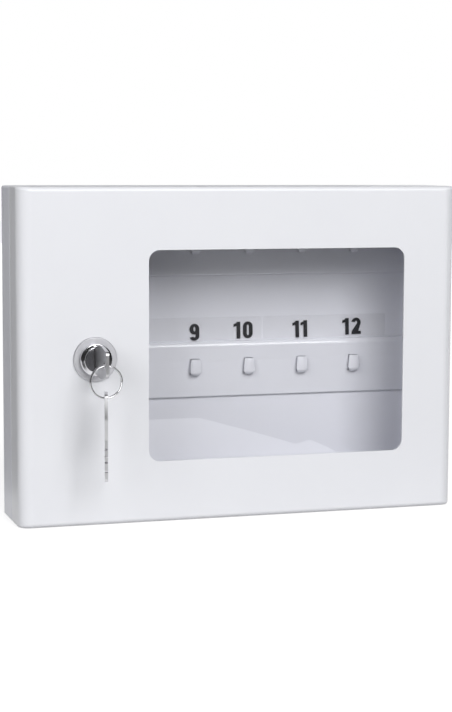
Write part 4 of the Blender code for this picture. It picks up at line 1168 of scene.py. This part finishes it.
@dataclass
class NumberStrips:
    """Clear film above each rail with the numbers of its hooks."""

    finishes: Finishes
    pen: DigitPen = DigitPen()
    number_places: tuple[float, ...] = (-101.5 * MM, -61.0 * MM, -20.1 * MM, 18.2 * MM, 63.7 * MM,
                                        105.9 * MM)
    number_rises: tuple[float, ...] = (-0.7 * MM, -0.1 * MM, 0.1 * MM, 0.8 * MM, 0.6 * MM, 1.7 * MM)
    number_turns: tuple[float, ...] = (0.9, 0.9, 0.9, 0.9, 1.6, 1.6)
    digit_height: float = 12.7 * MM
    digit_thickness: float = 0.04 * MM
    ahead: float = 0.05 * MM
    corner: float = 1.0 * MM
    corner_steps: int = 5

    def _strip(self, node: str) -> None:
        """Replaces one strip with a film that has round corners.

        Args:
            node: The strip's node.
        """
        bm = block(*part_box(node))
        round_edges(bm, edges_along_y(bm), self.corner, self.corner_steps)
        film = as_object(node.replace("label_strip", "number_film"), bm)
        soften(film)
        dress(film, self.finishes.film, "casing", [node])

    def _number(self, value: int, place: Vector, turn: float) -> None:
        """Prints one number.

        Args:
            value: The number.
            place: The middle of its lower edge, on the film's front.
            turn: Degrees that it leans, anticlockwise as seen from the front.
        """
        strokes, width = self.pen.number(str(value))
        solids = []
        for stroke in strokes:
            columns = [[Vector((end[0], depth, end[1])) for end, depth in
                        ((outer, 0.0), (inner, 0.0), (inner, 1.0), (outer, 1.0))]
                       for outer, inner in stroke]
            solids.append(swept(columns, closed=True))
        for bm in solids:
            bmesh.ops.translate(bm, vec=(-width / 2, 0.0, 0.0), verts=bm.verts)
            bmesh.ops.scale(bm, vec=(self.digit_height, -self.digit_thickness, self.digit_height),
                            verts=bm.verts)
            bmesh.ops.rotate(bm, matrix=Matrix.Rotation(math.radians(-turn), 3, "Y"),
                             cent=(0.0, 0.0, 0.0), verts=bm.verts)
            bmesh.ops.translate(bm, vec=place, verts=bm.verts)
            bmesh.ops.recalc_face_normals(bm, faces=bm.faces)
        digit = as_object(f"printed_number_{value}", solids[0])
        carve(digit, solids[1:], "UNION", WELD)
        dress(digit, self.finishes.ink, "casing")

    def build(self) -> None:
        """Makes the strips and the numbers, 1 to 6 above and 7 to 12 below."""
        for row, first in (("upper", 1), ("lower", 1 + len(self.number_places))):
            self._strip(f"label_strip_{row}_left")
            self._strip(f"label_strip_{row}_right")
            low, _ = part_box(f"label_strip_{row}_left")
            spots = zip(self.number_places, self.number_rises, self.number_turns)
            for index, (x, rise, turn) in enumerate(spots):
                self._number(first + index, Vector((x, low.y - self.ahead, low.z + rise)), turn)


@dataclass
class Door:
    """The door's sheet steel skin with its window and the holes for lock and hinges."""

    finishes: Finishes
    sheet: float = 1.0 * MM
    side_radius: float = 10.0 * MM
    front_radius: float = 3.5 * MM
    return_radius: float = 1.4 * MM
    side_steps: int = 16
    edge_steps: int = 6
    window_left: float = 93.6 * MM
    window_right: float = 41.6 * MM
    window_bottom: float = 44.0 * MM
    window_top: float = 44.7 * MM
    window_corner: float = 8.0 * MM
    barrel_hole: float = 19.6 * MM
    overrun: float = 3.0 * MM
    rear_chamfer: float = 3.15 * MM
    return_short: float = 1.87 * MM
    notch_depth: float = 1.3 * MM
    notch_height: float = 7.0 * MM
    notch_length: float = 12.7 * MM
    pin_hole: float = 3.6 * MM
    window_corner_steps: int = 16
    barrel_hole_steps: int = 64
    pin_hole_steps: int = 24
    edge_radius: float = 0.18 * MM

    def _stations(self, low: Vector, high: Vector) -> list[tuple[Point, Point, float]]:
        """Places round the plan outline.

        Args:
            low: Lowest corner of the door.
            high: Highest corner of the door.

        Returns:
            For each place its point, the inward direction and the radius of the skin's ends.
        """
        radius = self.side_radius
        stations = [((low.x, high.y), (1.0, 0.0), self.return_radius)]
        for centre_x, side in ((low.x + radius, 1), (high.x - radius, -1)):
            for step in range(self.side_steps + 1):
                share = step / self.side_steps
                angle = share * math.pi / 2
                across, ahead, front_share = math.cos(angle), math.sin(angle), share
                if side < 0:
                    across, ahead, front_share = -math.sin(angle), math.cos(angle), 1.0 - share
                edge = self.return_radius + (self.front_radius - self.return_radius) * front_share
                stations.append(((centre_x - radius * across, low.y + radius - radius * ahead),
                                 (across, ahead), edge))
        stations.append(((high.x, high.y - self.return_short), (-1.0, 0.0), self.return_radius))
        return stations

    def _column(self, station: tuple[Point, Point, float], low: Vector,
                high: Vector) -> list[Vector]:
        """Points up the skin at one station, with its two rounded ends.

        Args:
            station: The station.
            low: Lowest corner of the door.
            high: Highest corner of the door.

        Returns:
            The points, from the bottom to the top.
        """
        (x, y), (across, ahead), edge = station
        points = []
        for height, way in ((low.z, 1), (high.z, -1)):
            for step in range(self.edge_steps + 1):
                turn = step if way > 0 else self.edge_steps - step
                angle = turn / self.edge_steps * math.pi / 2
                inset = edge * (1.0 - math.sin(angle))
                rise = edge * (1.0 - math.cos(angle))
                points.append(Vector((x + across * inset, y + ahead * inset, height + way * rise)))
        return points

    def _skin(self, low: Vector, high: Vector) -> bmesh.types.BMesh:
        """The outer skin, swept round the plan outline, and its two flanges.

        Args:
            low: Lowest corner of the door.
            high: Highest corner of the door.

        Returns:
            The skin.
        """
        bm = swept([self._column(station, low, high) for station in self._stations(low, high)])
        for height in (low.z, high.z):
            rim = [edge for edge in bm.edges if edge.is_boundary
                   and all(abs(vert.co.z - height) < WELD for vert in edge.verts)]
            tips = [vert for edge in rim for vert in edge.verts
                    if sum(near in rim for near in vert.link_edges) == 1]
            corner = bm.verts.new((high.x - self.rear_chamfer, high.y, height))
            rim += [bm.edges.new((tip, corner)) for tip in tips]
            bmesh.ops.edgenet_fill(bm, edges=rim)
        return settle(bm)

    def _window(self, low: Vector, high: Vector) -> bmesh.types.BMesh:
        """The cutter for the window.

        Args:
            low: Lowest corner of the door.
            high: Highest corner of the door.

        Returns:
            The cutter.
        """
        start = Vector((low.x + self.window_left, low.y - self.overrun, low.z + self.window_bottom))
        end = Vector((high.x - self.window_right, low.y + self.sheet + self.overrun,
                      high.z - self.window_top))
        bm = block(start, end)
        round_edges(bm, edges_along_y(bm), self.window_corner, self.window_corner_steps)
        return bm

    def _hinge_cuts(self, low: Vector, high: Vector) -> list[bmesh.types.BMesh]:
        """Cutters for the hinge notches in the right return and for the pins' holes.

        Args:
            low: Lowest corner of the door.
            high: Highest corner of the door.

        Returns:
            The cutters.
        """
        cutters = []
        pin = middle_of("hinge_pin_lower")
        inner, ahead = high.x - self.notch_depth, high.y - self.notch_length
        outer, behind = high.x + self.overrun, high.y + self.overrun
        for start, end in ((low.z + self.notch_depth, low.z + self.notch_height),
                           (high.z - self.notch_height, high.z - self.notch_depth)):
            cutters.append(block((inner, ahead, start), (outer, behind, end)))
        for base in (low.z, high.z):
            cutters.append(rod((pin.x, pin.y, base - self.overrun / 2),
                               (pin.x, pin.y, base + self.overrun / 2), self.pin_hole / 2,
                               self.pin_hole_steps))
        return cutters

    def build(self) -> None:
        """Makes the skin and cuts it."""
        low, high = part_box("door_shell")
        skin = as_object("door_skin", self._skin(low, high))
        wall(skin, self.sheet)
        hole = drill(middle_of("lock_housing"), low.y - self.overrun,
                     low.y + self.sheet + self.overrun, self.barrel_hole, self.barrel_hole_steps)
        carve(skin, [self._window(low, high), hole, *self._hinge_cuts(low, high)])
        soften(skin, self.edge_radius)
        dress(skin, self.finishes.paint, "door", ["door_shell"])


@dataclass
class WindowPane:
    """The clear pane and the strips that hold it behind the window."""

    finishes: Finishes
    edge_radius: float = 0.3 * MM
    edge_steps: int = 3
    holder_edge_radius: float = 0.15 * MM
    holders: tuple[str, ...] = ("pane_channel_lower", "pane_channel_upper", "pane_stop_left",
                                "pane_stop_right")

    def build(self) -> None:
        """Makes the pane and dresses its holders."""
        bm = block(*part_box("window_pane"))
        round_edges(bm, bm.edges[:], self.edge_radius, self.edge_steps)
        pane = as_object("clear_pane", bm)
        soften(pane)
        dress(pane, self.finishes.pane, "door", ["window_pane"])
        zinc = Dressing(self.finishes.zinc, "door", "zinc_hardware", self.holder_edge_radius)
        for name in self.holders:
            zinc.put_on(name, name.replace("pane", "pane_holding"))


@dataclass
class Hinges:
    """Two brackets on the casing's lip, two pins in the door and their washers."""

    finishes: Finishes
    edge_radius: float = 0.12 * MM

    def build(self) -> None:
        """Dresses the hinge pieces of both ends."""
        zinc, nylon = self.finishes.zinc, self.finishes.nylon
        for end in ("lower", "upper"):
            for part, body, slot, material in (("hinge_bracket", "casing", "zinc_hardware", zinc),
                                               ("hinge_pin", "door", "zinc_hardware", zinc),
                                               ("hinge_washer", "casing", "nylon", nylon)):
                node = f"{part}_{end}"
                Dressing(material, body, slot, self.edge_radius).put_on(node, f"{node}_dressed")


@dataclass
class Lock:
    """The cam lock: rosette, head and barrel, plug, nut, cam and what is inside."""

    finishes: Finishes
    rosette_edge: float = 0.9 * MM
    rosette_slope: float = 2.34 * MM
    rosette_turn: float = 70.0
    head_diameter: float = 23.0 * MM
    head_lip_diameter: float = 16.4 * MM
    head_crown: float = 0.9 * MM
    head_turn: float = 82.0
    head_steps: int = 12
    lip_height: float = 0.35 * MM
    lip_half: float = 0.35 * MM
    round_steps: int = 8
    barrel_diameter: float = 19.0 * MM
    plug_diameter: float = 13.0 * MM
    plug_face_diameter: float = 15.2 * MM
    plug_face_thickness: float = 2.4 * MM
    fit: float = 0.3 * MM
    rosette_edge_radius: float = 0.1 * MM
    fine_edge_radius: float = 0.08 * MM
    plug_edge_radius: float = 0.12 * MM
    nut_edge_radius: float = 0.3 * MM
    wafers: int = 5
    inner: tuple[str, ...] = ("lock_cam", "cam_washer", "cam_screw")

    def _rosette(self, centre: Vector) -> None:
        """A slightly dished ring under the head.

        Args:
            centre: A point on the lock's axis.
        """
        low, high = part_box("lock_rosette")
        radius, bore = (high.x - low.x) / 2, self.barrel_diameter / 2 + self.fit
        back, front = centre.y - high.y, centre.y - low.y
        edge = self.rosette_edge
        profile = [(bore, back), (bore, front), (radius - self.rosette_slope, front)]
        profile += arc((radius - edge, front - edge), edge, self.rosette_turn, 0.0, self.round_steps)
        profile += [(radius, back)]
        ring = as_object("rosette_ring", turned(profile, centre))
        soften(ring, self.rosette_edge_radius)
        dress(ring, self.finishes.satin, "door", ["lock_rosette"])

    def _head(self, centre: Vector) -> None:
        """The housing: a crowned head with a fine raised lip, and the barrel behind it.

        Args:
            centre: A point on the lock's axis.
        """
        low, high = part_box("lock_housing")
        front, rear = centre.y - low.y, centre.y - high.y
        head, lip = self.head_diameter / 2, self.head_lip_diameter / 2
        bore, face_bore = self.plug_diameter / 2 + self.fit, self.plug_face_diameter / 2 + self.fit
        rosette_front = centre.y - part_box("lock_rosette")[0].y
        crown = arc((head - self.head_crown, front - self.lip_height - self.head_crown),
                    self.head_crown, self.head_turn, 0.0, self.head_steps)
        ring = arc((lip + self.lip_half, front - self.lip_half), self.lip_half, 180.0, 0.0,
                   self.round_steps)
        barrel, seat = self.barrel_diameter / 2, rosette_front + self.fit
        face, step = front - self.lip_height, front - self.plug_face_thickness - self.fit * 2
        profile = [(face_bore, step), (face_bore, face), (lip, face)]
        profile += [point for point in ring if point[1] > face]
        profile += crown
        profile += [(head, seat), (barrel, seat), (barrel, rear), (bore, rear), (bore, step)]
        housing = as_object("lock_head", turned(profile, centre))
        soften(housing, self.fine_edge_radius)
        dress(housing, self.finishes.chrome, "door", ["lock_housing"])

    def build(self) -> None:
        """Makes the rosette and the head, and dresses the plug and the pieces inside."""
        centre = middle_of("lock_housing")
        self._rosette(centre)
        self._head(centre)
        zinc, fine = self.finishes.zinc, self.fine_edge_radius
        # The plug wears chrome painted darker than the head's: a painted dark reflection.
        plug = Dressing(self.finishes.dark_chrome, "plug", "chrome_plate", self.plug_edge_radius)
        plug.put_on("lock_plug", "lock_plug_dressed")
        nut = Dressing(zinc, "door", "zinc_hardware", self.nut_edge_radius)
        nut.put_on("lock_nut", "barrel_nut")
        for name in self.inner:
            Dressing(zinc, "plug", "zinc_hardware", fine).put_on(name, f"{name}_dressed")
        brass = Dressing(self.finishes.brass, "plug", "brass_wafer", fine)
        for number in range(1, self.wafers + 1):
            brass.put_on(f"lock_wafer_{number}", f"brass_wafer_{number}")


@dataclass
class Keys:
    """The key in the lock, the split ring and the spare key."""

    finishes: Finishes
    ring_wire: float = 1.2 * MM
    ring_pitch: float = 1.65 * MM
    ring_step: float = 40.0
    ring_steps_per_turn: int = 96
    wire_sides: int = 16
    key_edge_radius: float = 0.6 * MM
    key_edge_steps: int = 4

    def _ring(self) -> None:
        """Almost two coils with one step between them, swept from a round section."""
        low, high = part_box("key_ring")
        centre = (low + high) / 2
        radius = (high.x - low.x) / 2 - self.ring_wire / 2
        bm = bmesh.new()
        bmesh.ops.create_circle(bm, cap_ends=True, radius=self.ring_wire / 2,
                                segments=self.wire_sides)
        start = centre + Vector((radius, -self.ring_pitch / 2, 0.0))
        bmesh.ops.translate(bm, vec=start, verts=bm.verts)
        section = bm.faces[:] + bm.edges[:] + bm.verts[:]
        flat = 360.0 - self.ring_step
        for degrees, shift in ((flat, 0.0), (self.ring_step, self.ring_pitch), (flat, 0.0)):
            steps = round(self.ring_steps_per_turn * degrees / 360.0)
            grown = bmesh.ops.spin(bm, geom=section, cent=centre, axis=-ALONG_Y,
                                   dvec=ALONG_Y * (shift / steps), angle=math.radians(degrees),
                                   steps=steps, use_merge=False, use_duplicate=False)
            section = grown["geom_last"]
            centre = centre + ALONG_Y * shift
        ring = as_object("split_ring", settle(bm))
        soften(ring)
        dress(ring, self.finishes.wire, "ring", ["key_ring"])

    def build(self) -> None:
        """Makes the ring and dresses both keys."""
        for name, body in (("door_key", "key"), ("spare_key", "spare")):
            nickel = Dressing(self.finishes.nickel, body, "nickel_plate", self.key_edge_radius,
                              self.key_edge_steps)
            nickel.put_on(name, f"{name}_dressed")
        self._ring()


@dataclass(frozen=True)
class Softbox:
    """A soft rectangular lamp that faces the cabinet."""

    name: str
    level: float
    azimuth: float
    elevation: float
    distance: float
    size: tuple[float, float]
    in_gloss: bool = True

    def power(self) -> float:
        """The watts at which white paper that faces the lamp shows at the level."""
        return self.level * (math.pi * self.distance) ** 2


class Facing(Enum):
    """The axis that a card stands square to, by its place among X, Y and Z."""

    SIDEWAYS = 0
    FRONTAL = 1
    LEVEL = 2


@dataclass(frozen=True)
class Card:
    """A flat dark or grey card that only glossy surfaces see."""

    name: str
    facing: Facing
    place: float
    outline: tuple[Point, ...]
    tone: float = 0.02

    def corners(self) -> list[Vector]:
        """The outline in space.

        Returns:
            Its corners.
        """
        axis = self.facing.value
        return [Vector(point[:axis] + (self.place,) + point[axis:]) for point in self.outline]


@dataclass
class Studio:
    """A pale floor, soft lights, cards for the gloss and the camera of the photograph."""

    softboxes: tuple[Softbox, ...] = (
        Softbox("key_softbox", 0.76, 8.0, 33.0, 5.0, (3.0, 3.0)),
        Softbox("left_softbox", 0.38, -49.0, 22.0, 3.5, (2.2, 2.2), False),
        Softbox("rear_softbox", 0.35, 165.0, 15.0, 4.0, (2.0, 2.0), False),
    )
    camera_place: Vector = field(default_factory=lambda: Vector((-0.3983, -1.27885, 0.2607)))
    yaw: float = 17.31
    pitch: float = 6.28
    roll: float = 0.236
    focal_pixels: float = 1806.5
    long_side_pixels: float = 712.0
    sensor: float = 36.0
    fill_level: float = 0.10
    floor_half: float = 6.0
    floor_tone: float = 0.45
    floor_glow: float = 0.75
    floor_roughness: float = 0.9
    nearest: float = 0.05
    farthest: float = 50.0
    target: Vector = field(default_factory=lambda: Vector((0.0, 0.0, 0.12)))
    cards: tuple[Card, ...] = (
        Card("front_card", Facing.FRONTAL, -1.0,
             ((-1.30, -0.02), (1.20, -0.02), (1.20, 1.20), (0.60, 1.20), (0.60, 0.32), (-0.35, 0.32),
              (-0.35, 1.20), (-1.30, 1.20)), 0.05),
        Card("floor_card", Facing.LEVEL, 0.002,
             ((-1.30, -1.0), (1.20, -1.0), (1.20, -0.15), (0.16, -0.24), (0.167, -0.31),
              (0.167, -0.36), (0.146, -0.34), (0.129, -0.427), (0.108, -0.522), (0.057, -0.522),
              (-0.30, -0.62), (-0.62, -0.70), (-1.30, -0.70))),
        Card("back_card", Facing.FRONTAL, 3.5,
             ((-2.5, 0.02), (1.5, 0.02), (1.5, 1.2), (-2.5, 1.2)), 0.30),
        Card("ceiling_card", Facing.LEVEL, 0.95,
             ((-1.3, -0.6), (1.1, -0.6), (1.1, 1.2), (-1.3, 1.2))),
        Card("rear_floor_card", Facing.LEVEL, 0.002,
             ((-0.19, 0.08), (-0.5, 3.4), (-2.0, 3.4), (-1.0, 0.08))),
        Card("left_card", Facing.SIDEWAYS, -1.3,
             ((-1.0, -0.05), (0.45, -0.05), (0.45, 1.2), (-1.0, 1.2))),
        Card("right_card", Facing.SIDEWAYS, 1.1,
             ((-1.0, -0.05), (0.05, -0.05), (0.05, 1.2), (-1.0, 1.2))),
    )
    card_cloud_scale: float = 30.0
    card_shade: float = 1.5
    card_roughness: tuple[float, float] = (0.9, 1.0)

    def _camera(self) -> None:
        """Places the camera by its fitted yaw, pitch and roll."""
        camera = bpy.data.cameras.new("photo_camera")
        camera.sensor_width = self.sensor
        camera.lens = self.focal_pixels / self.long_side_pixels * self.sensor
        camera.clip_start = self.nearest
        camera.clip_end = self.farthest
        holder = bpy.data.objects.new("photo_camera", camera)
        bpy.context.scene.collection.objects.link(holder)
        turn = (Matrix.Rotation(math.radians(-self.yaw), 4, "Z")
                @ Matrix.Rotation(math.radians(90.0 - self.pitch), 4, "X")
                @ Matrix.Rotation(math.radians(self.roll), 4, "Z"))
        holder.matrix_world = Matrix.Translation(self.camera_place) @ turn
        bpy.context.scene.camera = holder

    @staticmethod
    def _shown(wiring: Wiring) -> bpy.types.NodeSocket:
        """A mask that is 1 for what the eye, gloss or glass shows, and 0 for shading.

        Args:
            wiring: The wiring of the material or the world.

        Returns:
            The mask.
        """
        path = wiring.add("LightPath").outputs
        seen = wiring.combine("Math", "MAXIMUM", path["Is Camera Ray"], path["Is Glossy Ray"])
        through = wiring.combine("Math", "MAXIMUM", seen, path["Is Transmission Ray"])
        unshaded = wiring.combine("Math", "LESS_THAN", path["Diffuse Depth"], 0.5)
        return wiring.combine("Math", "MULTIPLY", through, unshaded)

    def _world(self) -> None:
        """A white surround for the eye and for gloss, and a softer one for shading."""
        world = bpy.data.worlds.new("studio_surround")
        world.use_nodes = True
        bpy.context.scene.world = world
        wiring = Wiring(world.node_tree)
        level = wiring.feed(wiring.add("MapRange"), Value=self._shown(wiring),
                            To_Min=self.fill_level, To_Max=1.0)
        wiring.feed(world.node_tree.nodes["Background"], Strength=level.outputs["Result"],
                    Color=(1.0, 1.0, 1.0, 1.0))

    def _floor(self) -> None:
        """A large pale floor that the camera and gloss see as white, darker where shaded."""
        bm = bmesh.new()
        bmesh.ops.create_grid(bm, x_segments=1, y_segments=1, size=self.floor_half)
        floor = as_object("studio_floor", bm)
        material, wiring, shader = blank_material("floor_paper")
        glow = wiring.combine("Math", "MULTIPLY", self._shown(wiring), self.floor_glow)
        wiring.feed(shader, Base_Color=(*[self.floor_tone] * 3, 1.0), Roughness=self.floor_roughness,
                    Emission_Color=(1.0, 1.0, 1.0, 1.0), Emission_Strength=glow)
        floor.data.materials.append(material)

    def _lamp(self, softbox: Softbox) -> None:
        """Adds a soft lamp that faces the cabinet.

        Args:
            softbox: The lamp.
        """
        lamp = bpy.data.lights.new(softbox.name, "AREA")
        lamp.shape = "RECTANGLE"
        lamp.size, lamp.size_y = softbox.size
        lamp.energy = softbox.power()
        holder = bpy.data.objects.new(softbox.name, lamp)
        holder.visible_camera = False
        holder.visible_glossy = softbox.in_gloss
        bpy.context.scene.collection.objects.link(holder)
        a, e = math.radians(softbox.azimuth), math.radians(softbox.elevation)
        way = Vector((math.sin(a) * math.cos(e), -math.cos(a) * math.cos(e), math.sin(e)))
        turn = way.to_track_quat("Z", "Y").to_matrix().to_4x4()
        holder.matrix_world = Matrix.Translation(self.target + way * softbox.distance) @ turn

    def _hang(self, card: Card) -> None:
        """Hangs a card where the camera and the lamps don't see it.

        Args:
            card: The card.
        """
        bm = bmesh.new()
        bm.faces.new([bm.verts.new(corner) for corner in card.corners()])
        sheet = as_object(card.name, bm)
        material, wiring, shader = blank_material(f"{card.name}_felt")
        tones = (card.tone,) * 3, (card.tone * self.card_shade,) * 3
        add_tones(wiring, shader, tones, self.card_cloud_scale, self.card_roughness)
        sheet.data.materials.append(material)
        for ray in ("camera", "diffuse", "volume_scatter", "shadow"):
            setattr(sheet, f"visible_{ray}", False)

    def build(self) -> None:
        """Makes the whole studio."""
        bpy.context.scene.view_settings.view_transform = "Standard"
        self._camera()
        self._world()
        self._floor()
        for softbox in self.softboxes:
            self._lamp(softbox)
        for card in self.cards:
            self._hang(card)


def main() -> None:
    """Builds the cabinet's looks in order."""
    logging.basicConfig(level=logging.INFO, format="%(name)s: %(message)s")
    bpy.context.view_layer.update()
    Studio().build()
    finishes = Finishes(middle_of("lock_housing"))
    for assembly in (Casing, HookRails, NumberStrips, Door, WindowPane, Hinges, Lock, Keys):
        log.info("building %s", assembly.__name__)
        assembly(finishes).build()


if __name__ == "__main__":
    main()
